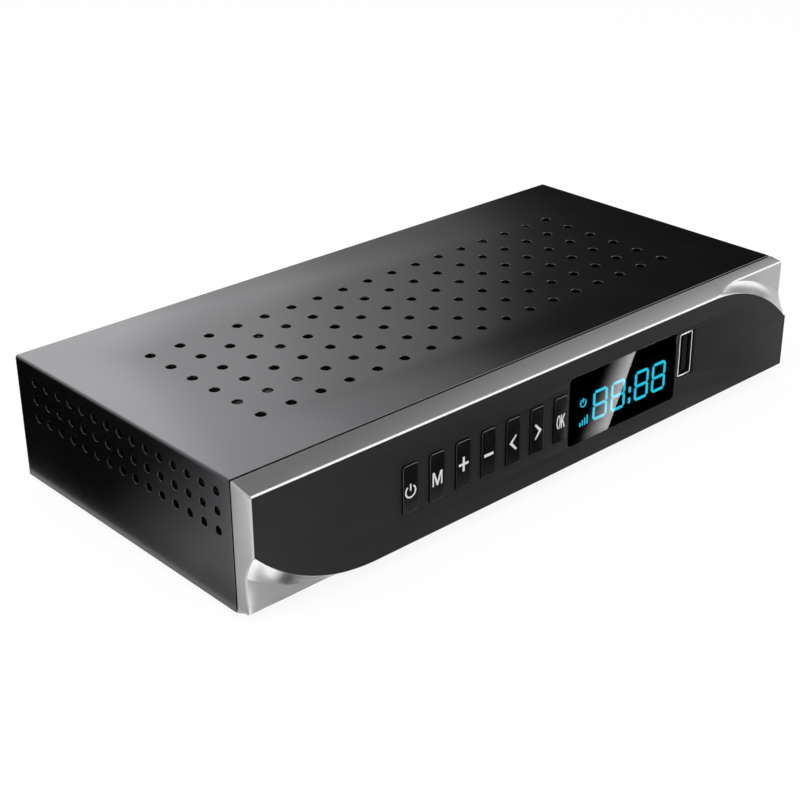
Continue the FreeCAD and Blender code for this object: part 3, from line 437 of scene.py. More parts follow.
rolled = tray_steel.noise(1.0, 3.0, (0.04, 1.0, 1.0))
tray_steel.feed(Base_Color=tray_steel.blend(spangle, *greys(0.44, 0.50, (1, 1, 1.02))),
                Roughness=rolled * 0.12 + 0.3).bump(rolled, 0.003)
tray.piece("tray_skin", [tray_steel], ["base_tray"])


# ---------------------------------------------------------------- the feet
# Four moulded rubber discs stuck under the tray, each with a rounded edge and a shallow dish underneath.

def turned(skin, profile, place, count=40):
    """A turned form: each (along, radius) of the profile is carried round the axis; place puts (along, across, up)
    points where the piece stands. Ends on the axis close in a pole."""
    turn = np.arange(count) * 2 * np.pi / count
    rows = [skin.row(place(np.full(count, along), radius * np.cos(turn), radius * np.sin(turn)))
            for along, radius in profile]
    skin.bands(rows)
    return rows


def eased(points, radius, steps=3):
    """A line of points with each inner corner rounded: the corner is replaced by a quadratic curve that leaves it
    radius before and meets it radius after, (1-t)^2 before + 2t(1-t) corner + t^2 after."""
    points = np.asarray(points, float)
    before, at, after = points[:-2], points[1:-1], points[2:]
    back, ahead = before - at, after - at
    reach_back = np.minimum(radius, 0.45 * np.linalg.norm(back, axis=1))[:, None]
    reach_ahead = np.minimum(radius, 0.45 * np.linalg.norm(ahead, axis=1))[:, None]
    start = at + back / np.linalg.norm(back, axis=1)[:, None] * reach_back
    end = at + ahead / np.linalg.norm(ahead, axis=1)[:, None] * reach_ahead
    t = np.linspace(0, 1, steps + 1)[None, :, None]
    curve = (1 - t) ** 2 * start[:, None] + 2 * t * (1 - t) * at[:, None] + t ** 2 * end[:, None]
    return np.concatenate([points[:1], curve.reshape(-1, points.shape[1]), points[-1:]])


def grained(name, low, high, size, roughness, depth=0.0, detail=3.0, spread=0.12, **constants):
    """A finish whose colour runs from low to high with a grain of size millimetres, which stands depth high. Its
    roughness spreads round its middle value."""
    finish = Finish(name, **constants)
    grain = finish.noise(size, detail)
    finish.feed(Base_Color=finish.blend(grain, low, high), Roughness=grain * spread + (roughness - spread / 2))
    return finish.bump(grain, depth) if depth else finish


rubber_black = grained("rubber_black", *greys(0.012, 0.022), 0.5, 0.7, 0.02, detail=4.0, spread=0.2,
                       Specular_IOR_Level=0.3)
foot_profile = eased([(2.0, 0.0), (2.0, 6.0), (1.6, 6.0), (0.0, 5.5), (0.0, 4.3), (0.4, 3.8), (0.4, 0.0)], 0.25)
foot_x, foot_front, foot_rear = 85.0, -33.925, 33.075
feet = Skin()
for x in (-foot_x, foot_x):
    for y in (foot_front, foot_rear):
        turned(feet, foot_profile, lambda along, across, up: np.stack([x + across, y + up, along], -1))
feet.piece("foot_discs", [rubber_black], ["rubber_feet"])


# ---------------------------------------------------------------- the case screws
# Three pan-headed screws with cross recesses through the rear panel into the cover's lip, blackened.

def along_y(x, z, start):
    """Puts turned forms along Y from start, round the axis at x and z."""
    return lambda along, across, up: np.stack([x + across, start + along, z + up], -1)


def screw_head(skin, radius, height, recess, place, count):
    """A pan head with a cross recess. At distance r and turn t from its middle the head stands
    height (1 - (r / radius)^4 / 3), less the recess, which is deep where r is short along either arm of the cross and
    the distance from that arm's line is under a tenth of the head."""
    r = np.concatenate([np.linspace(0, 0.6, 14), np.linspace(0.66, 1, 6)])[:, None] * radius
    t = (np.arange(count) * 2 * np.pi / count)[None, :]
    along = np.maximum(np.abs(r * np.cos(t)), np.abs(r * np.sin(t)))
    beside = np.minimum(np.abs(r * np.cos(t)), np.abs(r * np.sin(t)))
    arm = np.clip((0.16 * radius * (1.25 - along / radius) - beside) / (0.05 * radius), 0, 1)
    end = np.clip((0.62 * radius - along) / (0.2 * radius), 0, 1)
    stands = height * (1 - (r / radius) ** 4 / 3) - recess * arm * end
    rows = [skin.row(place(stands[i], (r[i] * np.cos(t))[0], (r[i] * np.sin(t))[0])) for i in range(len(r))]
    rows.append(skin.row(place(np.zeros(count), radius * np.cos(t[0]), radius * np.sin(t[0]))))
    skin.bands(rows)
    return rows[-1]


screw_black = grained("screw_black", *greys(0.03, 0.07), 0.6, 0.4, spread=0.2, Metallic=0.85)
screw_shank = [(0.0, 1.5), (-3.4, 1.5), (-4.0, 1.0), (-4.0, 0.0)]
case_screws = Skin()
for x in screw_places:
    stand = along_y(x, screw_z, panel_face)
    rim = screw_head(case_screws, 2.9, 1.9, 1.2, stand, 48)
    case_screws.band(rim, turned(case_screws, screw_shank, stand, 48)[0])
case_screws.piece("case_screw_set", [screw_black], ["case_screws"])


# ---------------------------------------------------------------- the bezel
# An injection moulding sprayed metallic silver on its outside: a sloping top and underside, a bright bevelled rim,
# and two scooped corners. Unpainted black behind, where its skirt slips inside the cover; that black is also painted
# shade, which makes the gap between the cover and the bezel read as a dark line.

front_plane = -53.625
front_low, front_high = 4.0, 35.6
front_tall = front_high - front_low
rim_wide, rim_deep = 0.3, 0.4
pocket_inset, pocket_deep = 0.35, 1.65
pocket_chamfer, chamfer_deep = 0.02, 0.05
web_deep = 3.15
arc_radius = 49.0
arc_reach = 36.2
scoop_deep = 3.2
cove_narrow, cove_wide, cove_turn, rise_turn = 1.0, 4.6, 0.728, 0.1106
corner_round = 0.45
bezel_deep = 7.1
skirt_deep = 12.7
skirt_side = 1.6
bezel_wall = 1.5
inside_deep = scoop_deep + bezel_wall
half_width = 100.0
far_reach = 2 * half_width - arc_reach
corner_steps, cove_steps = 9, 12
corner_gap = 0.012
corner_turn = np.linspace(0, np.pi / 2, corner_steps)
arc_turn = math.asin((arc_reach - rim_wide) / arc_radius)
pocket_radius = arc_radius - pocket_inset
web_inset = 4.0
web_radius = arc_radius + rim_wide / 3 - web_inset - 0.1
web_turn = math.asin((arc_reach - web_inset) / web_radius)


def scooped_part(slope, skirt_low):
    """The bezel's outline along the scoop's arc and up the side to the arc's end, as rows of (p, q, deep): p from one
    side, q from the front's scooped edge, deep behind the front plane. Across it, rows go from the fascia's pocket
    over the arc's crest, down the cove, over the recessed flat and the bevelled rim, and back along the outside,
    which spreads by slope times deep, to the skirt and the web behind the fascia.
    The arc's point at angle a and radius d is (reach - d sin a, radius - d cos a). The crest has the rim's bevel;
    past it the cove gets deeper by (1.6 w - 0.6 w^2) of its whole depth for w, the share of its width passed. The
    cove widens evenly with the angle, and over the first few degrees the rim rises out of the underside. The rim
    starts where the surface comes within the rim's width of the outside, found by halving an interval."""
    corner_q = -slope * (scoop_deep + rim_deep)
    corner_a = math.atan2(arc_reach - rim_wide, arc_radius - corner_q - rim_wide)
    under = np.linspace(0, 1, 44) ** 1.25 * (corner_a - corner_gap)
    beside = np.linspace(corner_a + corner_gap, arc_turn, 22)
    a = np.concatenate([under, np.full(corner_steps, corner_a), beside])
    turn = np.concatenate([np.zeros(len(under)), corner_turn, np.full(len(beside), np.pi / 2)])
    crest = arc_radius - rim_wide + 0 * a
    cove = cove_narrow + (cove_wide - cove_narrow) * a / cove_turn
    first_rise = 1 - np.clip(a / rise_turn, 0, 1)
    rim_q = rim_wide + slope * rim_deep * first_rise

    def deep_at(w):
        share = np.clip((w - rim_wide) / cove, 0, 1)
        bevel = rim_deep * np.clip(w / rim_wide, 0, 1)
        return bevel + (scoop_deep - rim_deep) * (1.6 * share - 0.6 * share ** 2)

    def room(w):
        d, deep = crest + w, deep_at(w)
        return np.minimum(arc_radius - d * np.cos(a) + slope * (deep + rim_deep) - rim_q,
                          arc_reach - d * np.sin(a) - rim_wide)

    low, high = np.zeros_like(a), np.full_like(a, 30.0)
    for _ in range(40):
        middle = (low + high) / 2
        inside = room(middle) > 0
        low, high = np.where(inside, middle, low), np.where(inside, high, middle)

    def on_arc(d, deep):
        return np.stack([arc_reach - d * np.sin(a), arc_radius - d * np.cos(a), deep + 0 * a], -1)

    def outside(inner, deep):
        """The point of the outside that faces a point of the rim, with the corner rounded."""
        q = -slope * deep
        round_p = corner_round * (1 - np.sin(turn))
        round_q = q + corner_round * (1 - np.cos(turn))
        p = np.where(turn == 0, inner[:, 0], np.where(turn == np.pi / 2, 0.0, round_p))
        q = np.where(turn == 0, q, np.where(turn == np.pi / 2, inner[:, 1], round_q))
        at_corner = a == corner_a
        return np.stack([np.where(at_corner, round_p, p), np.where(at_corner, round_q, q), deep + 0 * a], -1)

    inner_rim = on_arc(crest + low, deep_at(low))
    outer_rim = outside(inner_rim, inner_rim[:, 2] + rim_deep)
    back_edge = outside(inner_rim, np.full_like(a, bezel_deep))

    def skirt(inset, deep):
        p = np.maximum(inner_rim[:, 0], skirt_side + inset)
        q = np.where(turn < np.pi / 2, skirt_low + inset, np.clip(inner_rim[:, 1], skirt_low + inset, None))
        p = np.where(turn == np.pi / 2, skirt_side + inset, p)
        return np.stack([p, q, deep + 0 * a], -1)

    web_edge = np.stack([np.maximum(arc_reach - web_radius * np.sin(a), web_inset),
                         arc_radius - web_radius * np.cos(np.minimum(a, web_turn)), 0 * a], -1)
    edge = np.minimum(low, rim_wide)
    widest = np.minimum(low, rim_wide + cove) - edge
    cove_widths = [edge + widest * k / cove_steps for k in range(cove_steps + 1)]
    return [on_arc(pocket_radius, pocket_deep), on_arc(pocket_radius, chamfer_deep),
            on_arc(pocket_radius + pocket_chamfer, 0.0), on_arc(crest, 0.0),
            *(on_arc(crest + w, deep_at(w)) for w in cove_widths), inner_rim, outer_rim, back_edge,
            skirt(0, bezel_deep), skirt(0, skirt_deep), skirt(bezel_wall, skirt_deep),
            skirt(bezel_wall, inside_deep), web_edge + [0, 0, inside_deep], web_edge + [0, 0, web_deep]]


def plain_part(slope, skirt_far):
    """The same rows from the arc's end up the side, round the far corner and along the far edge, where the outside
    spreads by slope times deep."""
    arc_end = arc_radius - arc_radius * math.cos(arc_turn)
    side_q = np.array([arc_end, arc_end + 0.5, arc_end + 1.5, front_tall - 0.8])
    edge_p = np.array([0.8, 40.0, 90.0, far_reach])
    count = len(side_q) + corner_steps + len(edge_p)
    on_side = np.arange(count) < len(side_q)
    on_edge = np.arange(count) >= len(side_q) + corner_steps

    def straight(inset, deep, corner=0.0, spread=True, q_start=None):
        """The outline inset from the side and from the far edge, with its corner rounded."""
        top = front_tall + (slope * deep if spread else 0) - inset
        p = np.full(count, inset, float)
        q = np.full(count, top, float)
        q[on_side] = np.maximum(side_q, q_start) if q_start else side_q
        p[on_edge] = edge_p
        between = ~on_side & ~on_edge
        p[between] = inset + corner * (1 - np.cos(corner_turn))
        q[between] = top - corner * (1 - np.sin(corner_turn))
        return np.stack([p, q, np.full(count, deep, float)], -1)

    def box_line(inset, deep):
        """The skirt's outline, which doesn't spread and ends at its own far edge."""
        line = straight(0, deep, spread=False)
        line[:, 0] = np.where(on_edge, np.maximum(line[:, 0], skirt_side + inset), skirt_side + inset)
        line[:, 1] = np.where(on_side, np.clip(line[:, 1], None, skirt_far - inset), skirt_far - inset)
        return line

    web_line = straight(web_inset, 0.0, spread=False, q_start=arc_radius - web_radius * math.cos(web_turn))
    web_line[:, 1] = np.minimum(web_line[:, 1], front_tall - web_inset)
    web_line[:, 0] = np.maximum(web_line[:, 0], web_inset)
    pocket_start = arc_radius - math.sqrt(pocket_radius ** 2 - (arc_reach - pocket_inset) ** 2)
    pocket_edge = [(pocket_inset, pocket_deep), (pocket_inset, chamfer_deep), (pocket_inset - pocket_chamfer, 0.0)]
    pocket_lines = [straight(inset, deep, spread=False, q_start=pocket_start) for inset, deep in pocket_edge]
    rim_lines = [straight(rim_wide, 0.0, spread=False)] * (cove_steps + 3)
    return [*pocket_lines, *rim_lines, straight(0, rim_deep, corner_round), straight(0, bezel_deep, corner_round),
            box_line(0, bezel_deep), box_line(0, skirt_deep), box_line(bezel_wall, skirt_deep),
            box_line(bezel_wall, inside_deep), web_line + [0, 0, inside_deep], web_line + [0, 0, web_deep]]


def bezel_half(scoop_slope, far_slope, skirt_low, skirt_far):
    """Half of the bezel's outline: the scooped part and the plain part."""
    parts = zip(scooped_part(scoop_slope, skirt_low), plain_part(far_slope, skirt_far))
    return [np.concatenate(pair) for pair in parts]


def lower_half(row):
    """The half with the lower left scoop."""
    return np.stack([-half_width + row[:, 0], front_plane + row[:, 2], front_low + row[:, 1]], -1)


def upper_half(row):
    """The half with the upper right scoop."""
    return np.stack([half_width - row[:, 0], front_plane + row[:, 2], front_high - row[:, 1]], -1)


top_slope, bottom_slope = 1.4 / 7.7, 2.0 / 7.7
skirt_bottom, skirt_top = 2.65, 35.4
low_rows = bezel_half(bottom_slope, top_slope, skirt_bottom - front_low, skirt_top - front_low)
high_rows = bezel_half(top_slope, bottom_slope, front_high - skirt_top, front_high - skirt_bottom)
bezel_rows = np.stack([np.concatenate([lower_half(one), upper_half(other)])
                       for one, other in zip(low_rows, high_rows)])


def softened(rows, creases, radius):
    """Each crease row becomes three: one a little before it, one a little inside the corner, one a little after."""
    made = []
    for i, row in enumerate(rows):
        if i not in creases:
            made.append(row)
            continue
        back, ahead = rows[i - 1] - row, rows[i + 1] - row
        long_back = np.linalg.norm(back, axis=1, keepdims=True)
        long_ahead = np.linalg.norm(ahead, axis=1, keepdims=True)
        before = row + back * np.minimum(radius / np.maximum(long_back, 1e-9), 0.4) * (long_back > 1e-6)
        after = row + ahead * np.minimum(radius / np.maximum(long_ahead, 1e-9), 0.4) * (long_ahead > 1e-6)
        made += [before, row / 2 + (before + after) / 4, after]
    return made


crest_row, bevel_row, inner_rim_row, outer_rim_row, back_row = 3, 4, 17, 18, 19
soft_rows = softened(bezel_rows, (crest_row, bevel_row, inner_rim_row, outer_rim_row, back_row), 0.06)
painted = back_row + 10
bezel = Skin()
numbers = [bezel.row(row) for row in soft_rows]
# Bands past the back edge take the second finish: bare black moulding, and also painted shade in the gap behind the
# cover.
bezel.bands(numbers, [0] * painted + [1] * (len(numbers) - 1 - painted))
bezel.finish = 1

key_left, key_pitch, key_wide, key_low, key_tall = -half_width + 44.7, 8.87, 5.25, 13.1, 13.5
key_right = key_left + 6 * key_pitch + key_wide
window_x0, window_x1, window_z0, window_z1 = 4.1, 48.0, 10.0, 30.0
window_x, window_z = (window_x0 + window_x1) / 2, (window_z0 + window_z1) / 2
window_half_x, window_half_z = (window_x1 - window_x0) / 2, (window_z1 - window_z0) / 2
data_x, data_z, data_half_x, data_half_z = 52.75, 22.05, 5.7 / 2, 13.1 / 2
key_room, lens_gap = 0.9, 0.05
web_holes = [opening(key_left - key_room, key_right + key_room, key_low - key_room,
                     key_low + key_tall + key_room, 0.3),
             centred(window_x, window_z, window_half_x + lens_gap, window_half_z + lens_gap, 0.3),
             centred(data_x, data_z, 3.7, 7.0, 0.3)]
front_web, back_web = ([bezel.row(np.insert(hole(0), 1, front_plane + deep, axis=1)) for hole in web_holes]
                       for deep in (pocket_deep, web_deep))
for one, other in zip(front_web, back_web):
    bezel.band(one, other)
for layer, web in ((0, front_web), (-1, back_web)):
    bezel.fill([bezel_rows[layer][:, [0, 2]]] + [hole(0) for hole in web_holes], [numbers[layer]] + web)
post_end = pocket_deep + 9.75
post_places = [(x, z) for x in (-59.7, 62.2) for z in (11.0, 28.4)]
post_profile = [(pocket_deep + 0.5, 2.5), (post_end, 2.5), (post_end, 1.3), (web_deep, 1.3), (web_deep, 0.0)]
for x, z in post_places:
    turned(bezel, post_profile, along_y(x, z, front_plane), 24)
hook_front, hook_rear = -44.425, -41.925
for x in (-hook_x, hook_x):
    plate(bezel, [block(x - hook_half, x + hook_half, hook_front, hook_rear, 0.4)],
          [(0.3, 2.05), (0.0, 2.35), (0.0, 4.1)], lambda flat, z: np.insert(flat, 2, z, axis=1))
bezel_silver = Finish("bezel_silver", Coat_Roughness=0.06)
flake = bezel_silver.noise(0.12, 1.0)
flow = bezel_silver.noise(9.0, 2.0)
bezel_silver.feed(Base_Color=bezel_silver.blend(flake, *greys(0.27, 0.34, (1, 1, 0.99))), Metallic=flake * 0.2 + 0.62,
                  Roughness=flow * 0.05 + 0.22, Coat_Weight=flow * 0.1 + 0.35).bump(flake, 0.002)
black_moulding_and_gap_shade = grained("black_moulding_and_gap_shade", *greys(0.006, 0.011), 0.35, 0.575, 0.006, spread=0.15,
                        Specular_IOR_Level=0.4)
bezel.piece("bezel_skin", [bezel_silver, black_moulding_and_gap_shade], ["bezel"], crease=12)


# ---------------------------------------------------------------- the fascia
# A flat panel of fine-grained matt plastic, glued into the bezel's pocket, with openings for the keys, the display's
# lens and the data socket. Its edges are hardly broken.

def front_outline(inset):
    """The front's outline drawn in by inset: from the lower left arc's foot round the arc, up the side, along the
    top, and the same again turned half round."""
    radius = arc_radius - inset
    end = math.asin((arc_reach - inset) / radius)
    a = np.linspace(0, end, 40)
    arc = np.stack([-half_width + arc_reach - radius * np.sin(a), front_low + arc_radius - radius * np.cos(a)], -1)
    half = np.concatenate([arc, [[-half_width + inset, front_high - inset]]])
    return np.concatenate([half, [0, front_low + front_high] - half])


def upright(face, into=1):
    """Puts (x, z) outlines upright, depth millimetres into the piece from the plane y = face."""
    return lambda flat, depth: np.insert(flat, 1, face + into * depth, axis=1)


fascia_face = front_plane + 0.05
fascia_thick = 1.6
key_z = key_low + key_tall / 2
key_places = [key_left + index * key_pitch + key_wide / 2 for index in range(7)]
fascia_loops = [lambda inset: front_outline(0.4 + inset)]
fascia_loops += [centred(x, key_z, key_wide / 2, key_tall / 2, 0.85) for x in key_places]
fascia_loops += [centred(window_x, window_z, window_half_x + lens_gap, window_half_z + lens_gap, 1.3),
                 centred(data_x, data_z, 3.55, 6.85, 0.45)]
fascia = Skin()
plate(fascia, fascia_loops, [(0.06, 0), (0.02, 0.02), (0, 0.06), (0, fascia_thick)], upright(fascia_face))
fascia_black = Finish("fascia_black", Specular_IOR_Level=0.1)
grain = fascia_black.noise(0.22, 2.0)
tone = fascia_black.noise(18.0, 2.0)
fascia_black.feed(Base_Color=fascia_black.blend(tone, *greys(0.017, 0.020)), Roughness=grain * 0.12 + 0.58)
fascia_black.bump(grain, 0.006)
fascia.piece("fascia_panel", [fascia_black], ["fascia"])


# ---------------------------------------------------------------- the keys
# Seven keys moulded in black, each a cap through the fascia, a lip behind it, and a stem that presses its tact
# switch. Their faces are polished and their sides are matt. Their signs are printed in white and ride on them.

def stacked(skin, rows, x, z, finishes):
    """A closed form that is a rounded rectangle at every depth: rows of (y, half width, half height, corner)."""
    made = [skin.row(np.insert(rounded(x - half_x, x + half_x, z - half_z, z + half_z, corner, 5), 1, y, axis=1))
            for y, half_x, half_z, corner in rows]
    skin.bands(made, finishes)
    skin.finish = 0
    skin.close(made[0])
    skin.close(made[-1])


key_names = ("power", "menu", "plus", "minus", "left", "right", "ok")
key_gap, key_proud, key_bevel, key_corner = 0.2, 0.5, 0.16, 0.75
lip_wide, stem_half, stem_long = 0.7, 1.3, 1.45
sign_thick = 0.03
cap_face = fascia_face - key_proud + sign_thick
lip_front = fascia_face + fascia_thick + 0.05
lip_back = lip_front + 1.0
half_x, half_z = key_wide / 2 - key_gap, key_tall / 2 - key_gap
turn = np.linspace(np.pi / 2, 0, 6)
crown = [(cap_face + key_bevel * (1 - s), half_x - key_bevel * (1 - c), half_z - key_bevel * (1 - c),
          key_corner - 0.6 * key_bevel * (1 - c)) for s, c in zip(np.sin(turn), np.cos(turn))]
key_form = crown + [(lip_front, half_x, half_z, key_corner),
                    (lip_front, key_wide / 2 + lip_wide, key_tall / 2 + lip_wide, 0.5),
                    (lip_back, key_wide / 2 + lip_wide, key_tall / 2 + lip_wide, 0.5),
                    (lip_back, stem_half, stem_half, 0.2), (lip_back + stem_long, stem_half, stem_half, 0.2)]
key_black = Finish("key_black", Coat_Roughness=0.06)
key_flow = key_black.noise(6.0, 2.0)
key_black.feed(Base_Color=key_black.blend(key_flow, *greys(0.002, 0.0035)), Roughness=key_flow * 0.05 + 0.24,
               Coat_Weight=key_flow * 0.1 + 0.3).bump(key_flow, 0.01)
key_side = grained("key_side", *greys(0.002, 0.003), 0.3, 0.65, detail=2.0, spread=0.1, Specular_IOR_Level=0.1)
for x, name in zip(key_places, key_names):
    cap = Skin()
    stacked(cap, key_form, x, key_z, [0] * (len(crown) - 1) + [1] * (len(key_form) - len(crown)))
    cap.piece("cap_" + name, [key_black, key_side], ["key_" + name], name + "_key")


def stroke(points, widths):
    """The outline of a pen stroke along a line of points: each point moves half its width to either side, along
    the sum of its two runs' normals, divided by that sum's share along either normal. So both runs keep their
    width."""
    points = np.asarray(points, float)
    half = np.broadcast_to(np.asarray(widths, float) / 2, len(points))[:, None]
    ahead = np.diff(points, axis=0)
    normal = np.stack([-ahead[:, 1], ahead[:, 0]], -1) / np.linalg.norm(ahead, axis=1)[:, None]
    before, after = np.concatenate([normal[:1], normal]), np.concatenate([normal, normal[-1:]])
    side = (before + after) / (1 + (before * after).sum(1))[:, None]
    return np.concatenate([points + side * half, (points - side * half)[::-1]])


def power_sign(x, z, radius, width, gap=0.62):
    """A ring that is open at the top, gap radians each side, and a bar that stands in the opening."""
    turn = np.linspace(np.pi / 2 + gap, 5 * np.pi / 2 - gap, 40)
    ring = np.stack([x + radius * np.cos(turn), z + radius * np.sin(turn)], -1)
    return [[stroke(ring, width)], [stroke([(x, z + 0.08 * radius), (x, z + 1.28 * radius)], width)]]


def letter(x, z, corners):
    """A letter from its corners, its lower left one at (x, z)."""
    return [[np.array(corners) + (x, z)]]


def printed(skin, shapes, face, thick):
    """Flat signs that stand out from a face: each shape is an outline and the openings in it."""
    for loops in shapes:
        plate(skin, [lambda inset, loop=loop: loop for loop in loops], [(0, 0), (0, thick)], upright(face))


em = [(0, 0), (0, 3.8), (0.7, 3.8), (1.65, 1.15), (2.6, 3.8), (3.3, 3.8), (3.3, 0), (2.84, 0), (2.84, 2.85),
      (1.88, 0), (1.42, 0), (0.46, 2.85), (0.46, 0)]
kay = [(0, 0), (0, 3.95), (0.4, 3.95), (0.4, 2.25), (1.1, 3.95), (1.55, 3.95), (0.85, 2.3), (1.6, 0), (1.15, 0),
       (0.6, 1.75), (0.4, 1.3), (0.4, 0)]
arm_x, arm_z, bar = 1.65, 2.0, 0.34
plus = [(-arm_x, -bar), (-bar, -bar), (-bar, -arm_z), (bar, -arm_z), (bar, -bar), (arm_x, -bar),
        (arm_x, bar), (bar, bar), (bar, arm_z), (-bar, arm_z), (-bar, bar), (-arm_x, bar)]
around = np.arange(40)[:, None] * 2 * np.pi / 40
oval = np.concatenate([np.cos(around), np.sin(around)], 1)
key_signs = {
    "power": power_sign(-52.8, 19.2, 1.6, 0.44),
    "menu": letter(-45.55, 17.5, em),
    "plus": letter(-34.96, 20.0, plus),
    "minus": [[stroke([(-27.75, 19.4), (-24.5, 19.4)], 0.8)]],
    "left": [[stroke([(-16.3, 21.55), (-18.2, 19.6), (-16.2, 17.4)], (0.4, 0.8, 0.55))]],
    "right": [[stroke([(-9.3, 21.75), (-7.35, 19.7), (-9.2, 17.5)], (0.55, 0.8, 0.4))]],
    "ok": [[oval * (0.74, 2.0) + (-0.36, 19.4), oval * (0.38, 1.62) + (-0.36, 19.4)]] + letter(0.5, 17.4, kay),
}
sign_white = grained("sign_white", *greys(0.74, 0.84), 0.3, 0.4, detail=2.0, spread=0.1, Specular_IOR_Level=0.4)
for name, shapes in key_signs.items():
    sign = Skin()
    printed(sign, shapes, cap_face - sign_thick, sign_thick + 0.01)
    sign.piece("sign_" + name, [sign_white], body=name + "_key")


# ---------------------------------------------------------------- the display's lens
# A stepped pane of smoked acrylic, its face flush in the fascia and its lip glued behind, polished in front. Its
# edges and a border on its back are printed black.

lens_smoke = Finish("lens_smoke", IOR=1.49, Transmission_Weight=1.0, Base_Color=grey(0.2), Coat_Roughness=0.02)
lens_smoke.feed(Roughness=lens_smoke.noise(30.0, 1.0) * 0.02 + 0.01)
lens_print = grained("lens_print", *greys(0.001, 0.002), 0.3, 0.65, detail=2.0, spread=0.1, Specular_IOR_Level=0.05)
lens_deep = 1.3
lens_steps = [(0, -0.04, 1.26), (0.04, 0, 1.3), (0.8, 0, 1.3), (0.8, 1.0, 0.6), (lens_deep, 1.0, 0.6),
              (lens_deep, -0.7, 0.6)]
lens = Skin()
stacked(lens, [(fascia_face + depth, window_half_x + grow, window_half_z + grow, corner)
               for depth, grow, corner in lens_steps], window_x, window_z, (0, 1, 1, 1, 1))
lens.piece("lens_pane", [lens_smoke, lens_print], ["display_window"])


# ---------------------------------------------------------------- the display
# A clock display potted in a black housing behind the lens. Its lamp bars glow cyan, and so do two small signs on its
# left: standby and signal strength. An infrared receiver stands above it.

def dress(finish, *names):
    """Gives solids that keep their own shape a finish."""
    for name in names:
        for place in nodes[name].material_slots:
            place.material = finish.material


dress(grained("module_black", *greys(0.002, 0.004), 0.4, 0.6, 0.004, Specular_IOR_Level=0.1), "display_module")
lamp_cyan = Finish("lamp_cyan", Specular_IOR_Level=0.3, Emission_Strength=5.0)
lamp_spread = lamp_cyan.noise(0.5, 1.0)
lamp_cyan.feed(Base_Color=lamp_cyan.blend(lamp_spread, (0.02, 0.10, 0.14, 1), (0.02, 0.12, 0.16, 1)),
               Emission_Color=lamp_cyan.blend(lamp_spread, (0.02, 0.56, 0.78, 1), (0.03, 0.66, 0.90, 1)))
dress(lamp_cyan, "display_digits")
module_face = fascia_face + lens_deep + 0.35
lamp_thick, bar_pitch, bar_rise = 0.2, 0.95, 0.5
signal_bars = [[rounded(9.5 + bar_pitch * i, 9.8 + bar_pitch * i, 14.1, 15.2 + bar_rise * i, 0.05, 2)]
               for i in range(4)]
signs = Skin()
printed(signs, power_sign(10.65, 20.8, 1.1, 0.24, 0.5) + signal_bars, module_face - lamp_thick, lamp_thick)
signs.piece("display_signs", [lamp_cyan])
dress(grained("receiver_dark", (0.010, 0.006, 0.008, 1), (0.014, 0.008, 0.010, 1), 1.0, 0.15, 0.002),
      "infrared_receiver")


# ---------------------------------------------------------------- the front board
# A glass-fibre board screwed to the bezel's posts. It carries the display and seven tact switches, whose plungers the
# keys push. Its green mask shows the woven glass faintly, as crossed fine waves.

board_green = Finish("board_green")
warp, weft = (board_green.node("ShaderNodeTexWave", {"bands_direction": way},
                               {"Vector": board_green.place(), "Scale": 320.0}) for way in "XZ")
blots = board_green.noise(6.0, 3.0)
board_green.feed(Base_Color=board_green.blend(blots, (0.012, 0.075, 0.028, 1), (0.018, 0.105, 0.038, 1)),
                 Roughness=blots * 0.1 + 0.3).bump((warp + weft) * 0.5, 0.004)
screw_zinc = grained("screw_zinc", *greys(0.42, 0.6, (1, 1, 0.96)), 0.4, 0.32, 0.003, Metallic=1.0)
dress(board_green, "front_board")
dress(screw_zinc, "front_board_screws")
dress(grained("switch_black", *greys(0.010, 0.016), 0.3, 0.5, 0.004), "tact_switches")
dress(grained("plunger_black", *greys(0.014, 0.02), 0.3, 0.45, 0.003), *["plunger_" + name for name in key_names])


# ---------------------------------------------------------------- the front data socket
# An upright shell folded from thin nickelled steel, open at the front, round a black contact tongue. The inner walls
# of its mouth are painted black, as painted shade.
# It stands in the fascia's opening with a gap all round.

socket_nickel = grained("socket_nickel", *greys(0.72, 0.82, (1, 0.99, 0.97)), 0.8, 0.25, 0.002, spread=0.14,
                        Metallic=1.0)
socket_black = grained("socket_black", *greys(0.003, 0.006), 0.3, 0.5, 0.004, Specular_IOR_Level=0.08)
shell_wall = 0.45
data_outline = block(data_x - data_half_x, data_x + data_half_x, data_z - data_half_z, data_z + data_half_z, 0.6, 5)
data_mouth = centred(data_x, data_z, data_half_x - shell_wall, data_half_z - shell_wall, 0.3)
data_shell = Skin()
# The second finish, socket_black, goes on the inner walls of the mouth: painted shade where the steel lies in its own
# shadow.
plate(data_shell, [data_outline, data_mouth], [(0.05, 0), (0.015, 0.015), (0, 0.05), (0, 14.0)],
      upright(fascia_face + 0.45), painted_shade_finish=1)
data_shell.piece("data_shell", [socket_nickel, socket_black], ["data_socket_shell"])
dress(socket_black, "data_socket_tongue")


# ---------------------------------------------------------------- the main board
# The board stands on four brass pillars on the tray and carries the processor under its heat sink, the memory, the
# power supply's coils and capacitors, and the tuner's can. A ribbon joins it to the front board.

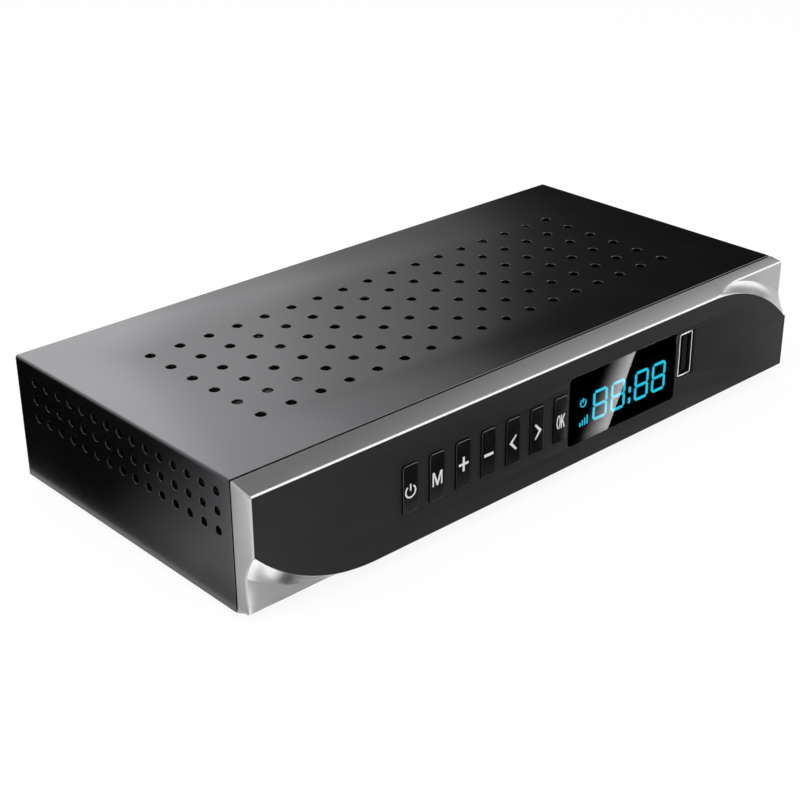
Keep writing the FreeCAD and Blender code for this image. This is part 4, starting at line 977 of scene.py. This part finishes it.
dress(board_green, "main_board")
dress(screw_zinc, "board_screws")
dress(grained("standoff_brass", (0.55, 0.40, 0.16, 1), (0.70, 0.53, 0.24, 1), 0.6, 0.3, 0.002, Metallic=1.0),
      "board_standoffs")
dress(grained("chip_black", *greys(0.010, 0.016), 0.25, 0.62, 0.004), "processor", "memory_chips")
dress(grained("pad_grey", *greys(0.16, 0.22, (1, 1, 1.05)), 0.8, 0.75, 0.006), "thermal_pad")
dress(grained("sink_aluminium", *greys(0.015, 0.028), 0.5, 0.42, 0.003, Metallic=0.6), "heat_sink")
dress(grained("can_steel", *greys(0.5, 0.62, (1, 0.99, 0.95)), 1.5, 0.3, 0.003, Metallic=1.0), "crystal", "tuner_can")
dress(grained("capacitor_black", (0.012, 0.013, 0.02, 1), (0.018, 0.019, 0.03, 1), 1.2, 0.28, 0.002), "capacitors")
dress(grained("ferrite_grey", *greys(0.05, 0.09), 0.4, 0.7, 0.01), "coils")
dress(grained("ribbon_grey", *greys(0.30, 0.38), 1.0, 0.45, 0.004), "board_ribbon")
dress(grained("header_white", *greys(0.60, 0.70, (1, 0.98, 0.92)), 0.5, 0.45, 0.003), "ribbon_headers")


# ---------------------------------------------------------------- the aerial sockets
# Two turned and nickelled barrels soldered to the tuner's can: a wide one with a bored contact for the aerial's plug,
# and a narrow one with a pin for the lead to the television. White insulators hold the contacts.

def poled(points, radius):
    """An eased line of (along, radius) points, carried on to the axis at either end."""
    line = eased(points, radius).tolist()
    return [(line[0][0], 0.0)] + line + ([(line[-1][0], 0.0)] if line[-1][1] else [])


insulator_white = grained("insulator_white", *greys(0.66, 0.76, (1, 1, 0.97)), 0.8, 0.4, 0.002)
contact_brass = grained("contact_brass", (0.62, 0.46, 0.20, 1), (0.74, 0.56, 0.27, 1), 0.8, 0.24, 0.002, Metallic=1.0)
root, aerial_long, disc_thick = -sheet - 0.05, 9.0, 2.0
input_bore, output_bore = 4.765, 4.1
input_line = [(root, input_bore), (root, 6.0), (1.2, 6.0), (1.5, 5.7), (2.1, 5.7), (2.4, 6.0), (aerial_long, 6.0),
              (aerial_long, 5.1), (aerial_long - 0.3, input_bore), (root, input_bore)]
output_line = [(root, output_bore), (root, 6.0), (1.5, 6.0), (1.5, 4.75), (aerial_long, 4.75), (aerial_long, 4.3),
               (aerial_long - 0.2, output_bore), (root, output_bore)]
for name, x, line in [("input", input_x, input_line), ("output", output_x, output_line)]:
    barrel = Skin()
    turned(barrel, eased(line, 0.2), along_y(x, aerial_z, panel_face), 64)
    barrel.piece("aerial_%s_barrel" % name, [socket_nickel], ["aerial_%s_sleeve" % name])
insulators = Skin()
for x, bore, contact in [(input_x, input_bore, 2.3), (output_x, output_bore, 1.6)]:
    turned(insulators, [(root, 0.0), (root, bore), (root + 1.3, bore), (root + 1.6, bore - 0.4),
                        (root + disc_thick, contact), (root + disc_thick, 0.0)], along_y(x, aerial_z, panel_face), 48)
insulators.piece("aerial_insulator_discs", [insulator_white], ["aerial_insulators"])
input_contact = poled([(root + disc_thick, 1.9), (aerial_long - 0.6, 1.9), (aerial_long - 0.6, 1.45),
                       (aerial_long - 1.0, 1.2), (root + 3.9, 1.2)], 0.15)
output_pin = poled([(root + disc_thick, 1.15), (aerial_long - 1.6, 1.15), (aerial_long - 0.75, 0.7),
                    (aerial_long - 0.6, 0.0)], 0.5)
contacts = Skin()
turned(contacts, input_contact, along_y(input_x, aerial_z, panel_face), 36)
turned(contacts, output_pin, along_y(output_x, aerial_z, panel_face), 36)
contacts.piece("aerial_contact_pins", [contact_brass], ["aerial_contacts"])


# ---------------------------------------------------------------- the digital video socket
# A folded nickelled shell with two cut corners, soldered to the main board's edge, round a black contact tongue.

def video_outline(inset):
    """The socket's outline drawn in by inset, its corners eased. Drawn in, the cut across a corner gets shorter by
    (2 - square root of 2) times the inset."""
    x0, x1 = video_x - video_half + inset, video_x + video_half - inset
    z0, z1 = board_top + inset, board_top + video_tall - inset
    cut = 1.6 - (2 - math.sqrt(2)) * inset
    middle = (video_x, z1)
    return eased([middle, (x0, z1), (x0, z0 + cut), (x0 + cut, z0), (x1 - cut, z0), (x1, z0 + cut), (x1, z1), middle],
                 0.4)[:-1]


video_wall = 0.35
video_shell = Skin()
plate(video_shell, [video_outline, lambda grow: video_outline(video_wall - grow)],
      [(0.06, 0), (0.02, 0.02), (0, 0.06), (0, 11.5)], upright(panel_face + 0.4, -1))
video_shell.piece("video_shell", [socket_nickel], ["digital_video_shell"])
dress(socket_black, "digital_video_tongue")


# ---------------------------------------------------------------- the phono sockets
# Three nickelled sleeves, each with a collar in the rear panel's hole and a coloured core bored for the plug's pin.
# A black moulded block behind the panel holds them.

jack_long, jack_bore = 8.6, 3.65
sleeve_line = eased([(root, jack_bore), (root, 5.0), (0.8, 5.0), (0.8, 4.15), (jack_long, 4.15), (jack_long, 3.8),
                     (jack_long - 0.15, jack_bore), (root, jack_bore)], 0.12)
core_line = poled([(root, jack_bore), (jack_long - 0.5, jack_bore), (jack_long - 0.5, 1.95), (jack_long - 0.8, 1.65),
                   (0.0, 1.65)], 0.15)
jack_colours = [("video", "jack_yellow", (0.72, 0.46, 0.02, 1), (0.80, 0.54, 0.03, 1)),
                ("left", "jack_white", *greys(0.70, 0.78)),
                ("right", "jack_red", (0.50, 0.012, 0.012, 1), (0.60, 0.02, 0.018, 1))]
sleeves = Skin()
for x, (name, colour, low, high) in zip(jack_places, jack_colours):
    turned(sleeves, sleeve_line, along_y(x, jack_z, panel_face), 48)
    core = Skin()
    turned(core, core_line, along_y(x, jack_z, panel_face), 48)
    core.piece("jack_core_" + name, [grained(colour, low, high, 0.7, 0.35, 0.002)], ["jack_insert_" + name])
sleeves.piece("jack_sleeve_set", [socket_nickel], ["jack_sleeves"])
dress(socket_black, "jack_housing")


# ---------------------------------------------------------------- the power jack
# A black moulded block on the main board with a round bore and a nickelled pin in its middle.

power_z, power_face, block_deep, bore_deep = board_top + 5.5, panel_face + 0.6, 14.0, 9.5
around_block = block(power_x - power_half, power_x + power_half, board_top, board_top + power_tall, 0.5)
around_bore = round_opening(power_x, power_z, 2.75, 48)
behind = upright(power_face, -1)
power_block = Skin()
block_edge = 0.25
block_rows, bore_rows = ([power_block.row(behind(loop(inset), depth))
                          for inset, depth in ((block_edge, 0), (0.07, 0.07), (0, block_edge), (0, deep))]
                         for loop, deep in ((around_block, block_deep), (around_bore, bore_deep)))
for rows in (block_rows, bore_rows):
    power_block.bands(rows)
    power_block.close(rows[-1])
power_block.fill([around_block(block_edge), around_bore(block_edge)], [block_rows[0], bore_rows[0]])
power_block.piece("power_jack_block", [socket_black], ["power_jack"])
pin = Skin()
turned(pin, poled([(-bore_deep, 1.05), (-1.3, 1.05), (-0.8, 0.6), (-0.8, 0.0)], 0.4),
       along_y(power_x, power_z, power_face), 32)
pin.piece("power_jack_pin", [socket_nickel], ["power_pin"])


# ---------------------------------------------------------------- the table, the lamps and the camera
# A white table under soft lamps. Round the table stands a tent of grey, black and white cards that only show in
# glossy surfaces, as a product photographer sets them.

def stage_sheet(name, points, faces, finish, glossy_only=True):
    """A part of the studio, in millimetres. A card that is glossy_only lights nothing and is seen only mirrored."""
    mesh = bpy.data.meshes.new(name)
    mesh.from_pydata((np.asarray(points, float) / 1000).tolist(), [], faces)
    mesh.shade_smooth()
    mesh.materials.append(finish.material)
    made = bpy.data.objects.new(name, mesh)
    bpy.context.scene.collection.objects.link(made)
    if glossy_only:
        made.visible_camera = made.visible_diffuse = made.visible_shadow = False


def seen(wiring):
    """1 where the camera sees a surface directly, mirrored or through glass, and 0 for the light that it sends on."""
    direct, mirrored, through = (wiring.node("ShaderNodeLightPath", output="Is %s Ray" % ray)
                                 for ray in ("Camera", "Glossy", "Transmission"))
    return direct.at_least(mirrored).at_least(through)


table_half = 4000
floor_white = Finish("floor_white", Roughness=0.9, Specular_IOR_Level=0.0, Base_Color=grey(0.95))
plain_white = floor_white.node("ShaderNodeEmission", {}, {"Strength": 1.03})
layers = {0: seen(floor_white) * 0.86, 1: Shade(floor_white, floor_white.shader.outputs[0]), 2: plain_white}
floor_white.show(floor_white.node("ShaderNodeMixShader", {}, layers))
stage_sheet("table_top", [(-table_half, -table_half, 0), (table_half, -table_half, 0), (table_half, table_half, 0),
                          (-table_half, table_half, 0)], [range(4)], floor_white, glossy_only=False)


def glowing(name, level_of):
    """A card whose glow is worked out from where a point lies, in millimetres."""
    glow = Finish(name)
    split = glow.node("ShaderNodeSeparateXYZ", {}, {0: glow.node("ShaderNodeTexCoord", output="Object")})
    x, y, z = (Shade(glow, output) * 1000.0 for output in split.socket.node.outputs)
    glow.show(glow.node("ShaderNodeEmission", {}, {"Color": level_of(x, y, z)}))
    return glow


def ramp(bearing, stops):
    """A level that runs straight between (bearing, level) stops. The ramp's own scale runs from 0 at 126 degrees to
    the left to 1 at 154 degrees to the right, and its levels up to 5."""
    share, top = lambda degrees: degrees / 280 + 0.45, 5.0
    listed = [(share(degrees), grey(level / top)) for degrees, level in stops]
    return bearing.wiring.node("ShaderNodeValToRGB", {"stops": listed}, {"Fac": share(bearing)}) * top


def tent_level(x, y, z):
    """The tent's glow by bearing, clockwise from straight behind, and by height angle: a bright card behind to the
    left that fades to black to the right and downwards, a grey sky above it, a dim card on the right, and a large
    white card over that."""
    bearing = x.math("ARCTAN2", x, y) * (180 / math.pi)
    flat = (x * x + y * y) ** 0.5
    height = x.math("ARCTAN2", z, flat) * (180 / math.pi)
    low = ramp(bearing, [(-80, 1.6), (12, 2.0), (22, 3.2), (28, 3.3), (30, 2.3), (32, 2.0), (34, 2.05), (36.5, 1.9),
                         (38.5, 1.16), (41.5, 1.08), (43.2, 0.82), (45.5, 0.6), (47.7, 0.03), (72, 0.0), (76, 0.4),
                         (90, 0.55), (98, 1.4), (106, 3.2), (150, 3.4)])
    rise = (height - 21.5) * 0.09 + 0.4
    low = low * rise.at_least(0.4).at_least((bearing - 60.0) / 10.0).clamped()
    high = ramp(bearing, [(-80, 0.03), (-28, 0.03), (-12, 0.8), (25, 0.8), (40, 0.25), (46, 0.08), (54, 0.12),
                          (60, 0.3), (66, 0.5), (76, 1.5), (84, 3.6), (150, 3.6)])
    starts = ((60.0 - bearing) * 0.35).at_least(0.0) + 29.0
    above = ((height - starts) / 3.0).clamped()
    return low * (1.0 - above) + high * above


tent_white = glowing("tent_white", tent_level)
tent_away = 2500
bearings = np.radians(np.linspace(-80, 148, 77))
heights = np.radians(np.linspace(0, 72, 25))
tent = tent_away * np.stack([np.outer(np.cos(heights), np.sin(bearings)), np.outer(np.cos(heights), np.cos(bearings)),
                             np.outer(np.sin(heights), np.ones_like(bearings))], -1).reshape(-1, 3)
i, j = np.meshgrid(np.arange(len(heights) - 1), np.arange(len(bearings) - 1), indexing="ij")
first = (i * len(bearings) + j).reshape(-1)
tent_faces = np.stack([first, first + 1, first + 1 + len(bearings), first + len(bearings)], -1).tolist()
stage_sheet("tent", tent, tent_faces, tent_white)


def front_level(x, y, z):
    """The card in front of the fascia: black, a little lighter near the left keys' feet, with one bright strip that
    ends in a straight line and fades leftwards, which makes the glare on the lens, a narrow strip that the data
    socket's rim mirrors, and a light right end for the upper right corner."""
    ahead = -53.6 - y
    past = x - ahead * 1.625 - 15.4
    strip = (past / 13.0 + 1.0).clamped() ** 1.6 * past.math("LESS_THAN", past, 0.0)
    strip = strip * x.math("GREATER_THAN", x, 8.0)
    near = (1.0 - (ahead - 10.0) / 18.0).clamped() * (1.0 - (x + 50.0) / 60.0).clamped()
    mirrored = x - ahead * 1.31
    socket = mirrored.math("LESS_THAN", (mirrored - 52.9).math("ABSOLUTE", mirrored - 52.9), 4.1)
    corner = ((mirrored - 85.0) / 4.0).clamped()
    return strip * 6.0 + near * 0.5 + socket * 3.6 + corner * 1.4


def left_level(x, y, z):
    """The card under the lower left corner: white at the corner, dim to its right, then grey, and grey further ahead,
    where the recessed flat mirrors it. The flat's left edge mirrors the line x + 0.744 y = -137.5."""
    near = ((y + 53.4) / 0.8).clamped()
    edge = ((-136.3 - x - y * 0.744) / 0.6).clamped()
    white = (1.0 - (x + 92.0) / 4.0).clamped() * near.at_least(edge)
    dim = ((x + 86.0) / 4.0).clamped() * 0.72 + 0.03
    return white * 3.2 + (1.0 - white) * (near * dim + (1.0 - near) * 0.92)


def side_level(x, y, z):
    """The card beside the left side: it darkens towards the back, and has a lighter part that the bezel's side
    mirrors and a white part for its rim. What one upright line of the side mirrors lies along y + 1.37 x."""
    back = y + (x + 100.0) * 0.45
    line = y + (x + 100.0) * 1.37
    foot = ((-103.0 - x) / 8.0).clamped() * 0.45 + 0.55
    cover = ((22.0 - back) / 45.0).clamped() ** 1.5 * foot * 0.56
    return cover + (-45.9 - line).clamped() * 0.42 + ((-62.0 - line) / 6.0).clamped() * 1.0


for name, level_of, z, outline in [
        ("front", front_level, 0.3, [(-52, -150), (330, -150), (330, -40), (103, -40), (103, -60), (-52, -60)]),
        ("left", left_level, 0.3, [(-103, -110), (-52, -110), (-52, -46), (-103, -46)]),
        ("side", side_level, 0.4, [(-320, -90), (-103, -90), (-103, 400), (-320, 400)])]:
    points = [(x, y, z) for x, y in outline]
    stage_sheet(name + "_card", points, [range(len(points))], glowing(name + "_glow", level_of))

soft_level = 0.55
world = bpy.data.worlds.new("studio")
bpy.context.scene.world = world
world.use_nodes = True
sky = Wiring(world.node_tree)
background = sky.tree.nodes["Background"]
background.inputs["Color"].default_value = (1, 1, 1, 1)
sky.link(seen(sky) * (1.0 - soft_level) + soft_level, background.inputs["Strength"])


def lamp(name, place, size, power):
    """A soft square lamp that looks at the object's foot. It isn't seen mirrored: the cards are."""
    data = bpy.data.lights.new(name, "AREA")
    data.shape, data.size, data.energy = "SQUARE", size, power
    made = bpy.data.objects.new(name, data)
    made.location = place
    made.rotation_mode = "QUATERNION"
    made.rotation_quaternion = (-Vector(place)).to_track_quat("-Z", "Y")
    made.visible_glossy = False
    bpy.context.scene.collection.objects.link(made)


lamp("top_lamp", (-0.5, -0.3, 1.3), 1.2, 9.0)
lamp("side_lamp", (-1.3, -0.9, 0.7), 0.9, 5.0)

camera = bpy.data.cameras.new("camera")
camera.lens, camera.sensor_width = 71.745, 36.0
camera.clip_start, camera.clip_end = 0.01, 50.0
eye_place, eye_bearing, eye_dip, eye_roll = (-0.27917, -0.29867, 0.20762), -42.37, 26.20, -0.434
eye = bpy.data.objects.new("camera", camera)
eye.matrix_world = (Matrix.Translation(eye_place) @ Matrix.Rotation(math.radians(eye_bearing), 4, "Z")
                    @ Matrix.Rotation(math.radians(90 - eye_dip), 4, "X")
                    @ Matrix.Rotation(math.radians(eye_roll), 4, "Z"))
bpy.context.scene.collection.objects.link(eye)
bpy.context.scene.camera = eye
bpy.context.scene.view_settings.view_transform = "Standard"
